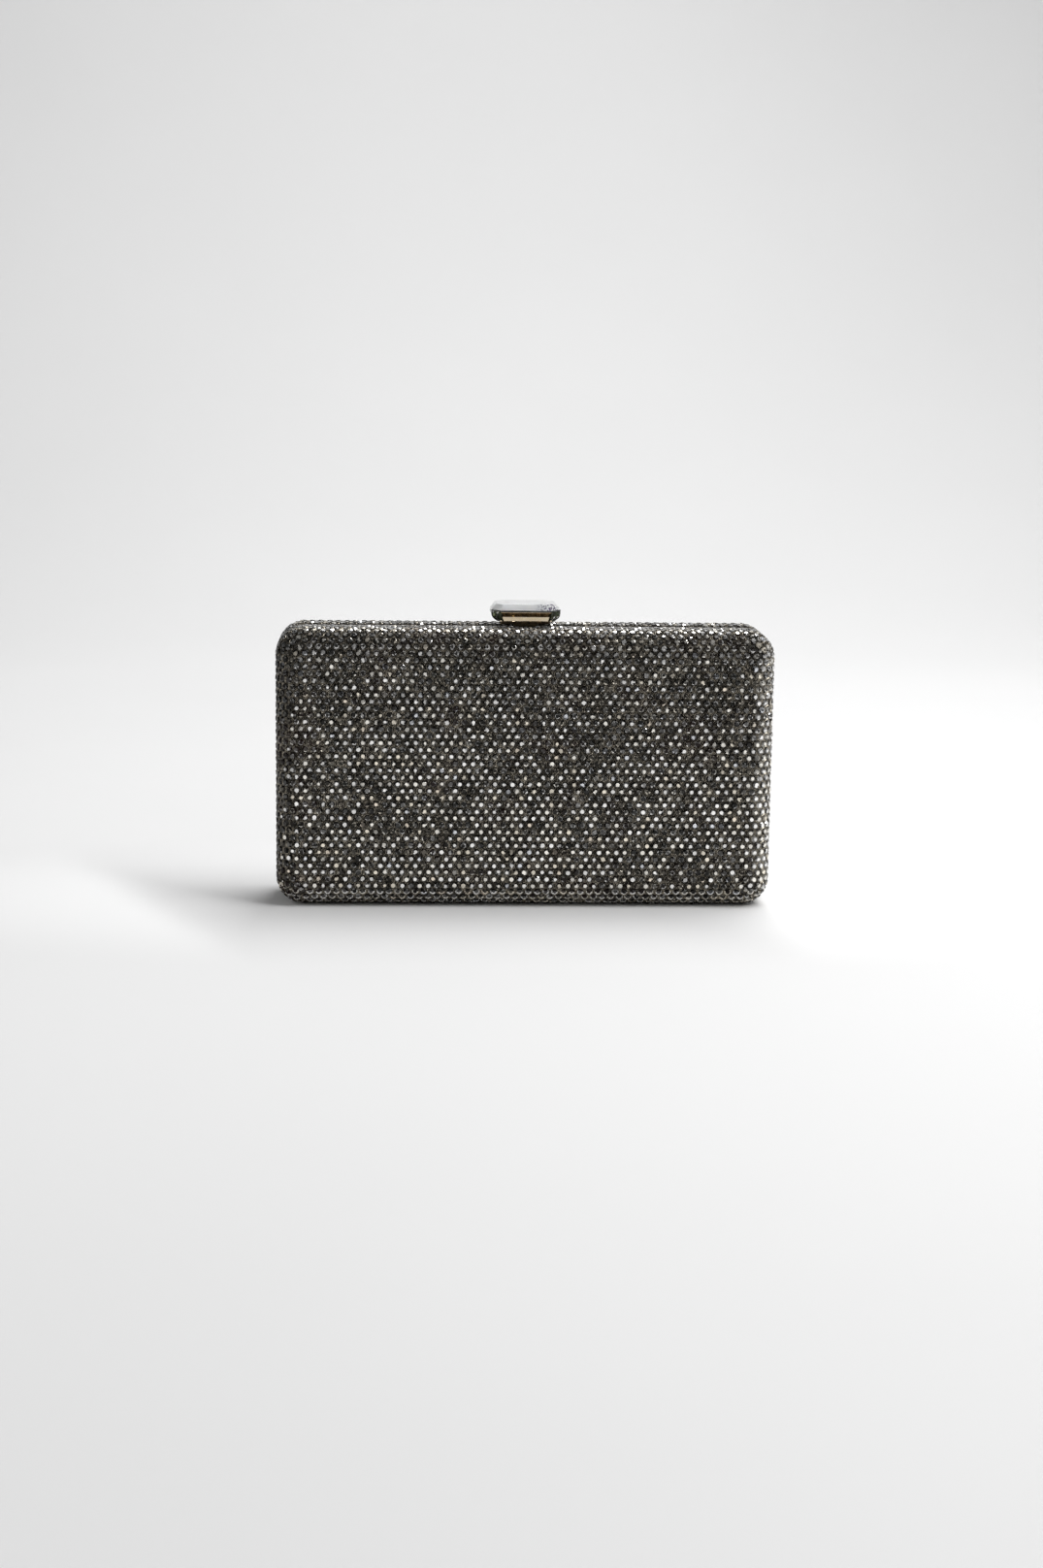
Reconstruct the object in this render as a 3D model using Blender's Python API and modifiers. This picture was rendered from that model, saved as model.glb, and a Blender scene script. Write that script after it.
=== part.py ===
"""Hard box clutch: two stone-covered half cases on a bottom hinge, shut by a stone clasp on a sprung lever.

The origin is on the ground under the middle of the shut case. X runs to the right, Y to the back and Z up.
The seam between the halves is the plane Y = 0. The front half swings forward about the hinge at the bottom,
and the clasp stone tips back about its own pivot to lift the hook off the striker. Lengths are in metres.
"""

import math

import bmesh
import bpy
from mathutils import Matrix, Vector

# Case, measured over the stones. The edge round each big face is a share of the corner's radius
CASE_WIDTH = 0.180
CASE_HEIGHT = 0.101
CASE_DEPTH = 0.040
CORNER_RADIUS = 0.010
EDGE_RADIUS_SHARE = 0.9

# Gap between pieces that lie on each other, and how far a cutter runs past what it cuts
PART_GAP = 0.0003
CUT_OVERRUN = 0.002

# Walls of the three layers of each half
COVER_WALL = 0.0018
SHELL_WALL = 0.0012
LINING_WALL = 0.0008

# Rows of stones on the cover, drawn as low studs: their height, and from a point to the next furrow's end
STUD_RELIEF = 0.00065
STUD_SPACING = 0.0054

# Flat patch in the middle of the rear face, which the case lies on, as shares of the studs' columns and rows
PATCH_SHARES = (0.2, 0.34)

# Frame round the seam: a lip on the seam and a flange inside the shell
SEAM_GAP = 0.0003
LIP_DROP = 0.0006
LIP_THICKNESS = 0.0009
FLANGE_WALL = 0.0010
FLANGE_DEPTH = 0.0058

# Hinges in the bottom seam
HINGE_LENGTH = 0.016
HINGE_END_DISTANCE = 0.024
KNUCKLE_COUNT = 5
KNUCKLE_RADIUS = 0.0015
KNUCKLE_FLOOR_CLEARANCE = 0.00025
HINGE_PIN_RADIUS = 0.0006
HINGE_PIN_HEAD_RADIUS = 0.0012
HINGE_PIN_HEAD_LENGTH = 0.0006
LEAF_GAUGE = 0.0009
LEAF_SET_BACK = 0.0004
LEAF_REACH = 0.0085

# Rivets of the hinge leaves and the striker
RIVET_RADIUS = 0.0008
RIVET_HEAD_RADIUS = 0.0014
RIVET_HEAD_HEIGHT = 0.0006
LEAF_RIVET_SPACING = 0.009
STRIKER_RIVET_SPACING = 0.0048

# Clasp stone, an oblong with cut corners
STONE_WIDTH = 0.025
STONE_DEPTH = 0.018
STONE_CORNER_CUT = 0.0034
STONE_TABLE_BEVEL = 0.0003
STONE_GIRDLE_HEIGHT = 0.0016
STONE_STEP_HEIGHT = 0.0020
STONE_STEP_INSET = 0.0022
STONE_TOP_ABOVE_CASE = 0.0082

# Clasp setting under the stone
CUP_THICKNESS = 0.0007
CUP_MARGIN = 0.0003
PEDESTAL_WIDTH = 0.0182
PEDESTAL_FRONT_OVERHANG = 0.0012
PEDESTAL_DEPTH = 0.0066
PEDESTAL_CASE_CLEARANCE = 0.0004
SOCKET_ROOF = 0.0006
GRUB_SCREW_RADIUS = 0.0005
GRUB_SCREW_BITE = 0.0012
GRUB_SCREW_RISE = 0.0011
GRUB_SCREW_RECESS = 0.0002

# Clasp lever and its travel; the shares are of the room between its neck and the bracket's back plate
CLASP_TRAVEL_ANGLE = math.radians(10)
PIVOT_PLACE_SHARE = 0.5
PIVOT_DEPTH_UNDER_CASE_TOP = 0.0085
PIVOT_PIN_RADIUS = 0.0008
PIVOT_PIN_HEAD_RADIUS = 0.0015
PIVOT_PIN_HEAD_LENGTH = 0.0006
HUB_RADIUS_SHARE = 0.215
HUB_LENGTH = 0.0114
LEVER_WIDTH = 0.008
LEVER_ARM_HEIGHT = 0.0024
LEVER_TAIL_SHARE = 0.46
NECK_DISTANCE_FROM_SEAM = 0.0006
NECK_DEPTH = 0.0030
NECK_FILLET = 0.0012
TOOTH_DEPTH = 0.0016
TOOTH_DROP = 0.0016
TOOTH_RAMP = 0.0008
SLOT_SIDE_CLEARANCE = 0.0006
SLOT_END_CLEARANCE = 0.0005

# Striker on the front half
STRIKER_GAUGE = 0.0010
STRIKER_PLATE_DEPTH = 0.0053
STRIKER_LIP_DEPTH = 0.0009
STRIKER_HOOK_OVERLAP = 0.0008
STRIKER_TOOTH_CLEARANCE = 0.0008

# Bracket that carries the lever
BRACKET_WALL = 0.0010
BRACKET_HEIGHT = 0.0115
BRACKET_DISTANCE_FROM_NECK = 0.0019
BRACKET_FRONT_RADIUS = 0.002
BRACKET_SCREW_RADIUS = 0.0008
BRACKET_SCREW_HEAD_RADIUS = 0.0015
BRACKET_SCREW_HEAD_HEIGHT = 0.0007
BRACKET_SCREW_SPACING = 0.0092
BRACKET_SCREW_RISE = 0.0028
BRACKET_SCREW_TIP = 0.0005

# Return spring, a compression coil under the lever's tail; the shares are of the lever's room
SPRING_RADIUS_SHARE = 0.145
SPRING_WIRE_RADIUS = 0.00025
SPRING_PITCH = 0.0010
SPRING_FROM_PIVOT_SHARE = 0.29
SPRING_BOSS_HEIGHT = 0.0015

# Smoothness of round forms, in facets
CORNER_SEGMENTS = 8
EDGE_SEGMENTS = 6
STUD_CORNER_STEPS = 4
STUD_EDGE_STEPS = 4
STUD_WALL_STEPS = 2
BARREL_SEGMENTS = 24
PIN_SEGMENTS = 16
DOME_STEPS = 3
POINTS_PER_CURL = 10
WELD_DISTANCE = 0.00001
SHARP_ANGLE = math.radians(35)

# Places that follow from the sizes above
CASE_MIDDLE = CASE_HEIGHT / 2
EDGE_RADIUS = EDGE_RADIUS_SHARE * CORNER_RADIUS
CORE_REACH_X = CASE_WIDTH / 2 - CORNER_RADIUS
CORE_REACH_Z = CASE_HEIGHT / 2 - CORNER_RADIUS
SHELL_INSET = COVER_WALL + PART_GAP
FLANGE_INSET = SHELL_INSET + SHELL_WALL + PART_GAP
FLANGE_INNER_INSET = FLANGE_INSET + FLANGE_WALL
LIP_START = SEAM_GAP / 2
LIP_END = LIP_START + LIP_THICKNESS
TRAY_START = LIP_END + PART_GAP
FLANGE_END = LIP_END + FLANGE_DEPTH
LINING_START = FLANGE_END + PART_GAP

HINGE_HEIGHT = KNUCKLE_RADIUS + KNUCKLE_FLOOR_CLEARANCE
HINGE_CENTRE = CASE_WIDTH / 2 - HINGE_END_DISTANCE - HINGE_LENGTH / 2
HINGE_BORE_RADIUS = HINGE_PIN_RADIUS + PART_GAP
CHANNEL_HALF_WIDTH = HINGE_HEIGHT + PART_GAP
CHANNEL_TOP = HINGE_HEIGHT + KNUCKLE_RADIUS + PART_GAP
LEAF_BOTTOM = FLANGE_INNER_INSET + PART_GAP
LEAF_TOP = LEAF_BOTTOM + LEAF_GAUGE
STRAP_BACK = LEAF_SET_BACK + LEAF_GAUGE
FLANGE_MIDDLE = (LIP_END + FLANGE_END) / 2

NECK_BACK = NECK_DISTANCE_FROM_SEAM + NECK_DEPTH
LINING_BACK = CASE_DEPTH / 2 - FLANGE_INSET - LINING_WALL
BRACKET_BACK = LINING_BACK - PART_GAP
BRACKET_PLATE_FRONT = BRACKET_BACK - BRACKET_WALL
LEVER_ROOM = BRACKET_PLATE_FRONT - NECK_BACK
PIVOT_Y = NECK_BACK + PIVOT_PLACE_SHARE * LEVER_ROOM
PIVOT_Z = CASE_HEIGHT - PIVOT_DEPTH_UNDER_CASE_TOP
HUB_RADIUS = HUB_RADIUS_SHARE * LEVER_ROOM
ARM_TOP = PIVOT_Z + LEVER_ARM_HEIGHT / 2
ARM_BOTTOM = PIVOT_Z - LEVER_ARM_HEIGHT / 2
TOOTH_BOTTOM = ARM_BOTTOM - TOOTH_DROP
TOOTH_BACK = NECK_DISTANCE_FROM_SEAM + TOOTH_DEPTH
TAIL_END = PIVOT_Y + LEVER_TAIL_SHARE * LEVER_ROOM
SLOT_SWING = (CASE_HEIGHT - PIVOT_Z) * math.sin(CLASP_TRAVEL_ANGLE)
SLOT_BACK = NECK_BACK + SLOT_SWING + SLOT_END_CLEARANCE

STONE_TOP = CASE_HEIGHT + STONE_TOP_ABOVE_CASE
STONE_STEP_TOP = STONE_TOP - STONE_TABLE_BEVEL - STONE_GIRDLE_HEIGHT
STONE_BOTTOM = STONE_STEP_TOP - STONE_STEP_HEIGHT
CUP_TOP = STONE_BOTTOM - PART_GAP
CUP_BOTTOM = CUP_TOP - CUP_THICKNESS
PEDESTAL_BOTTOM = CASE_HEIGHT + PEDESTAL_CASE_CLEARANCE
PEDESTAL_BACK = PEDESTAL_DEPTH - PEDESTAL_FRONT_OVERHANG
SOCKET_TOP = CUP_BOTTOM - SOCKET_ROOF
NECK_TOP = SOCKET_TOP - PART_GAP
GRUB_SCREW_HEIGHT = PEDESTAL_BOTTOM + GRUB_SCREW_RISE

STRIKER_LIP_FRONT = TOOTH_BACK + PART_GAP
STRIKER_LIP_BACK = STRIKER_LIP_FRONT + STRIKER_LIP_DEPTH
STRIKER_LIP_TOP = TOOTH_BOTTOM + STRIKER_HOOK_OVERLAP
STRIKER_ARM_TOP = TOOTH_BOTTOM - STRIKER_TOOTH_CLEARANCE
STRIKER_PLATE_TOP = CASE_HEIGHT - FLANGE_INNER_INSET - PART_GAP
STRIKER_PLATE_BACK = -(LIP_END + PART_GAP)
STRIKER_PLATE_FRONT = STRIKER_PLATE_BACK - STRIKER_PLATE_DEPTH

BRACKET_FRONT = NECK_BACK + BRACKET_DISTANCE_FROM_NECK
BRACKET_TOP = CASE_HEIGHT - FLANGE_INNER_INSET - PART_GAP
BRACKET_BOTTOM = BRACKET_TOP - BRACKET_HEIGHT
BRACKET_FLOOR = BRACKET_BOTTOM + BRACKET_WALL
BRACKET_BACK_RADIUS = EDGE_RADIUS - FLANGE_INSET - LINING_WALL - PART_GAP
EAR_INNER = HUB_LENGTH / 2 + PART_GAP
EAR_OUTER = EAR_INNER + BRACKET_WALL
SPRING_RADIUS = SPRING_RADIUS_SHARE * LEVER_ROOM
SPRING_Y = PIVOT_Y + SPRING_FROM_PIVOT_SHARE * LEVER_ROOM
SPRING_BOTTOM = BRACKET_FLOOR + PART_GAP
SPRING_TOP = ARM_BOTTOM - PART_GAP

# Directions in which an outline is stood up: its thickness runs along Z, Y or X
FLAT = Matrix.Identity(4)
FACING_Y = Matrix.Rotation(math.pi / 2, 4, "X")
FACING_X = Matrix(((0, 0, 1, 0), (1, 0, 0, 0), (0, 1, 0, 0), (0, 0, 0, 1)))
ALONG_X = Matrix.Rotation(math.pi / 2, 4, "Y")
ALONG_Y = Matrix.Rotation(-math.pi / 2, 4, "X")
TURNED_TO_FRONT = Matrix.Rotation(math.pi, 4, "Z")


# Scene, collections and materials
def clear_scene():
    """Removes every object, so that the script can be run again in the same file."""
    for item in list(bpy.data.objects):
        bpy.data.objects.remove(item, do_unlink=True)


def new_collection(name):
    """A collection under the scene's own."""
    group = bpy.data.collections.new(name)
    bpy.context.scene.collection.children.link(group)
    return group


def new_material(name, colour, roughness, metallic):
    """A Principled material of one colour."""
    material = bpy.data.materials.new(name)
    material.use_nodes = True
    shader = material.node_tree.nodes["Principled BSDF"]
    shader.inputs["Base Color"].default_value = (*colour, 1)
    shader.inputs["Roughness"].default_value = roughness
    shader.inputs["Metallic"].default_value = metallic
    material.diffuse_color = (*colour, 1)
    return material


clear_scene()
PIECES = new_collection("box_clutch")
CUTTERS = new_collection("cutters")
DARK_STONES = new_material("dark_stones", (0.06, 0.06, 0.065), 0.25, 0.6)
CASE_METAL = new_material("case_metal", (0.55, 0.55, 0.56), 0.45, 1.0)
FRAME_METAL = new_material("frame_metal", (0.16, 0.15, 0.14), 0.3, 1.0)
LINING_CLOTH = new_material("lining_cloth", (0.03, 0.03, 0.033), 0.85, 0.0)
HINGE_METAL = new_material("hinge_metal", (0.45, 0.42, 0.38), 0.35, 1.0)
CLASP_METAL = new_material("clasp_metal", (0.62, 0.5, 0.34), 0.25, 1.0)
CLEAR_STONE = new_material("clear_stone", (0.85, 0.87, 0.9), 0.05, 0.0)
SPRING_STEEL = new_material("spring_steel", (0.6, 0.6, 0.62), 0.3, 1.0)


# Objects
def place(name, mesh, material, turn=FLAT, location=(0, 0, 0), collection=PIECES):
    """Puts a mesh into the scene as a named piece, turned and then moved."""
    piece = bpy.data.objects.new(name, mesh)
    collection.objects.link(piece)
    piece.matrix_world = Matrix.Translation(Vector(location)) @ turn
    if material:
        mesh.materials.clear()
        mesh.materials.append(material)
    return piece


def shade_round(piece):
    """Smooth shading with sharp edges kept, for turned and rounded pieces."""
    piece.data.shade_smooth()
    piece.data.set_sharp_from_angle(angle=SHARP_ANGLE)


def as_cutter(name, mesh, turn=FLAT, location=(0, 0, 0)):
    """A solid that only cuts or joins: shown as wire and left out of renders."""
    cutter = place(name, mesh, None, turn, location, CUTTERS)
    cutter.display_type = "WIRE"
    cutter.hide_render = True
    return cutter


def combine(piece, other, operation):
    """Adds an exact Boolean of one solid with another."""
    modifier = piece.modifiers.new(other.name, "BOOLEAN")
    modifier.operation = operation
    modifier.solver = "EXACT"
    modifier.object = other


def cut(piece, *cutters):
    """Takes each cutter away from a piece."""
    for cutter in cutters:
        combine(piece, cutter, "DIFFERENCE")


def join(piece, *others):
    """Adds each solid to a piece."""
    for other in others:
        combine(piece, other, "UNION")


def hang_on(pivot, *pieces):
    """Parents pieces to an empty on a joint's axis without moving them."""
    for piece in pieces:
        piece.parent = pivot
        piece.matrix_parent_inverse = Matrix.Translation(pivot.location).inverted()


def new_pivot(name, location):
    """An empty on a joint's axis."""
    pivot = bpy.data.objects.new(name, None)
    pivot.location = location
    pivot.empty_display_size = HINGE_LENGTH
    PIECES.objects.link(pivot)
    return pivot


# Meshes
def box_mesh(name, low, high):
    """A box between two corners."""
    low = Vector(low)
    high = Vector(high)
    work = bmesh.new()
    bmesh.ops.create_cube(work, size=1)
    bmesh.ops.scale(work, vec=high - low, verts=work.verts)
    bmesh.ops.translate(work, vec=(low + high) / 2, verts=work.verts)
    mesh = bpy.data.meshes.new(name)
    work.to_mesh(mesh)
    work.free()
    return mesh


def rod_mesh(name, radius, length, segments):
    """A cylinder along Z, centred on the origin."""
    work = bmesh.new()
    bmesh.ops.create_cone(
        work, cap_ends=True, segments=segments, radius1=radius, radius2=radius, depth=length
    )
    mesh = bpy.data.meshes.new(name)
    work.to_mesh(mesh)
    work.free()
    return mesh


def outline_mesh(name, outlines, thickness):
    """A flat outline, with any further outlines as holes, made as thick as stated and centred on Z."""
    curve = bpy.data.curves.new(name, "CURVE")
    curve.dimensions = "2D"
    curve.fill_mode = "BOTH"
    curve.extrude = thickness / 2
    for outline in outlines:
        spline = curve.splines.new("POLY")
        spline.points.add(len(outline) - 1)
        for point, (across, along) in zip(spline.points, outline):
            point.co = (across, along, 0, 1)
        spline.use_cyclic_u = True
    guide = bpy.data.objects.new(name, curve)
    CUTTERS.objects.link(guide)
    bpy.context.view_layer.update()
    evaluated = guide.evaluated_get(bpy.context.evaluated_depsgraph_get())
    mesh = bpy.data.meshes.new_from_object(evaluated)
    bpy.data.objects.remove(guide)
    work = bmesh.new()
    work.from_mesh(mesh)
    bmesh.ops.remove_doubles(work, verts=work.verts, dist=WELD_DISTANCE)
    work.to_mesh(mesh)
    work.free()
    return mesh


def turned_piece(name, profile, segments, material, turn, location):
    """A solid of revolution about Z; its profile of (radius, height) runs from the top to the foot."""
    mesh = bpy.data.meshes.new(name)
    edges = [(step, step + 1) for step in range(len(profile) - 1)]
    mesh.from_pydata([(radius, 0, height) for radius, height in profile], edges, [])
    piece = place(name, mesh, material, turn, location)
    screw = piece.modifiers.new("turning", "SCREW")
    screw.axis = "Z"
    screw.angle = math.tau
    screw.steps = segments
    screw.render_steps = segments
    screw.use_merge_vertices = True
    screw.merge_threshold = WELD_DISTANCE
    return piece


def arc(centre, radius, start, end, steps):
    """Points along an arc, both ends included."""
    angles = [start + (end - start) * step / steps for step in range(steps + 1)]
    return [(centre[0] + radius * math.cos(a), centre[1] + radius * math.sin(a)) for a in angles]


def rounded_rectangle(width, height, radius):
    """An outline with four arc corners, centred on the origin."""
    across = width / 2 - radius
    along = height / 2 - radius
    corners = ((across, along), (-across, along), (-across, -along), (across, -along))
    points = []
    for number, centre in enumerate(corners):
        start = number * math.pi / 2
        points += arc(centre, radius, start, start + math.pi / 2, CORNER_SEGMENTS)
    return points


def case_outline(inset):
    """The case's outline seen from the front, drawn in by an inset."""
    return rounded_rectangle(
        CASE_WIDTH - 2 * inset, CASE_HEIGHT - 2 * inset, CORNER_RADIUS - inset
    )


def domed_head(radius, height, base):
    """Profile points of a low domed head on a flat base, from its crown to its edge."""
    steps = range(DOME_STEPS + 1)
    angles = [math.pi / 2 * (1 - step / DOME_STEPS) for step in steps]
    return [(radius * math.cos(a), base + height * math.sin(a)) for a in angles]


# Half cases
def tray(name, inset, wall, start, material, is_front):
    """One layer of a half case: an open tray with rounded corners and edges, hollow towards the seam.

    A block is rounded along its four Y edges and then round its far face, the face on the seam side is
    taken away, and Solidify gives the skin its wall. Layers made this way lie inside each other.
    """
    back = CASE_DEPTH / 2 - inset
    work = bmesh.new()
    bmesh.ops.create_cube(work, size=1)
    size = (CASE_WIDTH - 2 * inset, back - start, CASE_HEIGHT - 2 * inset)
    bmesh.ops.scale(work, vec=size, verts=work.verts)
    bmesh.ops.translate(work, vec=(0, (start + back) / 2, 0), verts=work.verts)
    upright = [e for e in work.edges if abs((e.verts[0].co - e.verts[1].co).y) > WELD_DISTANCE]
    bmesh.ops.bevel(
        work, geom=upright, offset=CORNER_RADIUS - inset, segments=CORNER_SEGMENTS, profile=0.5,
        affect="EDGES",
    )
    far = [e for e in work.edges if all(v.co.y > back - WELD_DISTANCE for v in e.verts)]
    bmesh.ops.bevel(
        work, geom=far, offset=EDGE_RADIUS - inset, segments=EDGE_SEGMENTS, profile=0.5,
        affect="EDGES",
    )
    mouth = [f for f in work.faces if all(v.co.y < start + WELD_DISTANCE for v in f.verts)]
    bmesh.ops.delete(work, geom=mouth, context="FACES")
    mesh = bpy.data.meshes.new(name)
    work.to_mesh(mesh)
    work.free()
    turn = TURNED_TO_FRONT if is_front else FLAT
    piece = place(name, mesh, material, turn, (0, 0, CASE_MIDDLE))
    solidify = piece.modifiers.new("wall", "SOLIDIFY")
    solidify.thickness = wall
    solidify.offset = -1
    solidify.use_even_offset = True
    shade_round(piece)
    return piece


def skin_stations(columns, rows, corner_steps):
    """The stations round the case where its skin is drawn, and the stations at each node of a grid.

    The case's core is the rectangle between the centres of its corner arcs. A station is a core point, the
    direction outwards from it and its count along the grid. The grid has columns by rows cells, and a node
    on its border holds one station, or the whole arc's where the node is a corner.
    """
    stations = []
    nodes = {}
    corners = ((columns, rows), (0, rows), (0, 0), (columns, 0))
    for number, (column, row) in enumerate(corners):
        core = grid_point(column, row, columns, rows)
        nodes[column, row] = []
        for step in range(corner_steps + 1):
            angle = math.pi / 2 * (number + step / corner_steps)
            nodes[column, row].append(len(stations))
            stations.append((core, (math.cos(angle), math.sin(angle)), column + row + step, True))
        next_column, next_row = corners[(number + 1) % len(corners)]
        steps = abs(next_column - column) + abs(next_row - row)
        angle = math.pi / 2 * (number + 1)
        for step in range(1, steps):
            here = (
                column + (next_column - column) * step // steps,
                row + (next_row - row) * step // steps,
            )
            nodes[here] = [len(stations)]
            core = grid_point(*here, columns, rows)
            stations.append((core, (math.cos(angle), math.sin(angle)), sum(here), False))
    return stations, nodes


def grid_point(column, row, columns, rows):
    """A node of the grid over the case's core."""
    return (CORE_REACH_X * (2 * column / columns - 1), CORE_REACH_Z * (2 * row / rows - 1))


def skin_rings(edge_steps, wall_steps):
    """The turn of the skin and its depth from the seam, from the flat face round the edge to the seam."""
    rings = []
    for step in range(edge_steps + 1):
        turn = math.pi / 2 * step / edge_steps
        rings.append((turn, CASE_DEPTH / 2 - EDGE_RADIUS * (1 - math.cos(turn))))
    straight = CASE_DEPTH / 2 - EDGE_RADIUS
    for step in range(1, wall_steps + 1):
        rings.append((math.pi / 2, straight + (TRAY_START - straight) * step / wall_steps))
    return rings


def is_under(direction):
    """Whether a direction outwards from the core points straight down."""
    return direction[1] < 0 and abs(direction[0]) < WELD_DISTANCE


def skin_vertices(work, stations, rings, inset, relief):
    """Vertices of a skin, station by station. Those with an odd count lie deeper by the relief.

    The arcs' first ring, the ring at the seam and the base keep their height, so that they stay flat.
    """
    grid = []
    for (core_x, core_z), (out_x, out_z), count, in_arc in stations:
        column = []
        for number, (turn, depth) in enumerate(rings):
            on_base = is_under((out_x, out_z)) and turn == math.pi / 2
            held = on_base or (in_arc and number == 0) or number == len(rings) - 1
            drop = inset if held or (count + number) % 2 == 0 else inset + relief
            out = CORNER_RADIUS - EDGE_RADIUS + (EDGE_RADIUS - drop) * math.sin(turn)
            place_y = depth - drop * math.cos(turn)
            column.append(work.verts.new((core_x + out_x * out, place_y, core_z + out_z * out)))
        grid.append(column)
    return grid


def stud_cell(work, corners, high_first):
    """Two triangles over a cell, split along its two low corners, so that each high corner is a point."""
    first, second, third, fourth = corners
    if high_first:
        work.faces.new((first, second, fourth))
        work.faces.new((second, third, fourth))
    else:
        work.faces.new((first, second, third))
        work.faces.new((first, third, fourth))


def patch_limits(columns, rows):
    """First and last column and row of the flat patch."""
    left = round(columns * (1 - PATCH_SHARES[0]) / 2)
    low = round(rows * (1 - PATCH_SHARES[1]) / 2)
    return left, columns - left, low, rows - low


def studded_face(work, grid, nodes, columns, rows, has_patch):
    """The flat face as rows of low four-sided studs, staggered from row to row, with or without the patch."""
    left, right, low, high = patch_limits(columns, rows)
    inner = {}
    for column in range(1, columns):
        for row in range(1, rows):
            on_patch = has_patch and left <= column <= right and low <= row <= high
            drop = STUD_RELIEF if (column + row) % 2 and not on_patch else 0
            if has_patch and left < column < right and low < row < high:
                continue
            point_x, point_z = grid_point(column, row, columns, rows)
            inner[column, row] = [work.verts.new((point_x, CASE_DEPTH / 2 - drop, point_z))]
    for node, held in nodes.items():
        inner[node] = [grid[number][0] for number in held]
    if has_patch:
        border = [(column, low) for column in range(left, right)]
        border += [(right, row) for row in range(low, high)]
        border += [(column, high) for column in range(right, left, -1)]
        border += [(left, row) for row in range(high, low, -1)]
        work.faces.new([inner[node][0] for node in border])
    for column in range(columns):
        for row in range(rows):
            if has_patch and left <= column < right and low <= row < high:
                continue
            round_cell = ((column, row), (column + 1, row), (column + 1, row + 1), (column, row + 1))
            lists = [inner[node] for node in round_cell]
            if all(len(held) == 1 for held in lists):
                stud_cell(work, [held[0] for held in lists], (column + row) % 2 == 0)
                continue
            arc_at = next(number for number, held in enumerate(lists) if len(held) > 1)
            across = lists[(arc_at + 2) % 4][0]
            rim = lists[(arc_at + 3) % 4] + lists[arc_at] + lists[(arc_at + 1) % 4]
            for first, second in zip(rim, rim[1:]):
                work.faces.new((across, first, second))


def studded_sides(work, grid, stations, rings):
    """The studs round the edge and down the walls. The base is one flat polygon, which the case stands on."""
    first_wall = STUD_EDGE_STEPS
    for number, column in enumerate(grid):
        ahead = (number + 1) % len(grid)
        both_under = is_under(stations[number][1]) and is_under(stations[ahead][1])
        for ring in range(len(rings) - 1):
            if both_under and ring >= first_wall:
                continue
            cell = (column[ring], grid[ahead][ring], grid[ahead][ring + 1], column[ring + 1])
            stud_cell(work, cell, (stations[number][2] + ring) % 2 == 0)
    under = [grid[number] for number, station in enumerate(stations) if is_under(station[1])]
    between = range(first_wall + 1, len(rings) - 1)
    loop = [column[first_wall] for column in under]
    loop += [under[-1][ring] for ring in between]
    loop += [column[-1] for column in reversed(under)]
    loop += [under[0][ring] for ring in reversed(between)]
    work.faces.new(loop)


def stone_cover(name, is_front):
    """The stone-covered outer layer of a half case: a tray's smooth inside under a studded outside.

    The studs stand for the rows of stones, three or four stones to a stud. Their points keep the case's
    size and only the furrows between them are cut into the wall. The base and a patch of the rear face are
    flat, so that the case stands and lies still.
    """
    columns = round(2 * CORE_REACH_X / STUD_SPACING)
    rows = round(2 * CORE_REACH_Z / STUD_SPACING)
    work = bmesh.new()
    stations, nodes = skin_stations(columns, rows, STUD_CORNER_STEPS)
    rings = skin_rings(STUD_EDGE_STEPS, STUD_WALL_STEPS)
    outer = skin_vertices(work, stations, rings, 0, STUD_RELIEF)
    studded_face(work, outer, nodes, columns, rows, not is_front)
    studded_sides(work, outer, stations, rings)

    inner_stations, inner_nodes = skin_stations(1, 1, CORNER_SEGMENTS)
    inner = skin_vertices(work, inner_stations, skin_rings(EDGE_SEGMENTS, 1), COVER_WALL, 0)
    work.faces.new([column[0] for column in inner])
    for number, column in enumerate(inner):
        following = inner[(number + 1) % len(inner)]
        for first, second, third, fourth in zip(column, following, following[1:], column[1:]):
            work.faces.new((first, second, third, fourth))
    close_rim(work, outer, inner, nodes, inner_nodes, columns, rows)
    bmesh.ops.recalc_face_normals(work, faces=work.faces)
    mesh = bpy.data.meshes.new(name)
    work.to_mesh(mesh)
    work.free()
    turn = TURNED_TO_FRONT if is_front else FLAT
    return place(name, mesh, DARK_STONES, turn, (0, 0, CASE_MIDDLE))


def close_rim(work, outer, inner, nodes, inner_nodes, columns, rows):
    """Closes the seam edge between both skins with one flat polygon for each corner and each side."""
    corners = ((columns, rows), (0, rows), (0, 0), (columns, 0))
    inner_corners = ((1, 1), (0, 1), (0, 0), (1, 0))
    for number, (corner, inner_corner) in enumerate(zip(corners, inner_corners)):
        outer_arc = [outer[held][-1] for held in nodes[corner]]
        inner_arc = [inner[held][-1] for held in inner_nodes[inner_corner]]
        work.faces.new(outer_arc + inner_arc[::-1])
        last = nodes[corner][-1]
        end = nodes[corners[(number + 1) % len(corners)]][0] or len(outer)
        outer_side = [outer[held % len(outer)][-1] for held in range(last, end + 1)]
        next_inner = inner[inner_nodes[inner_corners[(number + 1) % len(corners)]][0]][-1]
        work.faces.new(outer_side + [next_inner, inner_arc[-1]])


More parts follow.
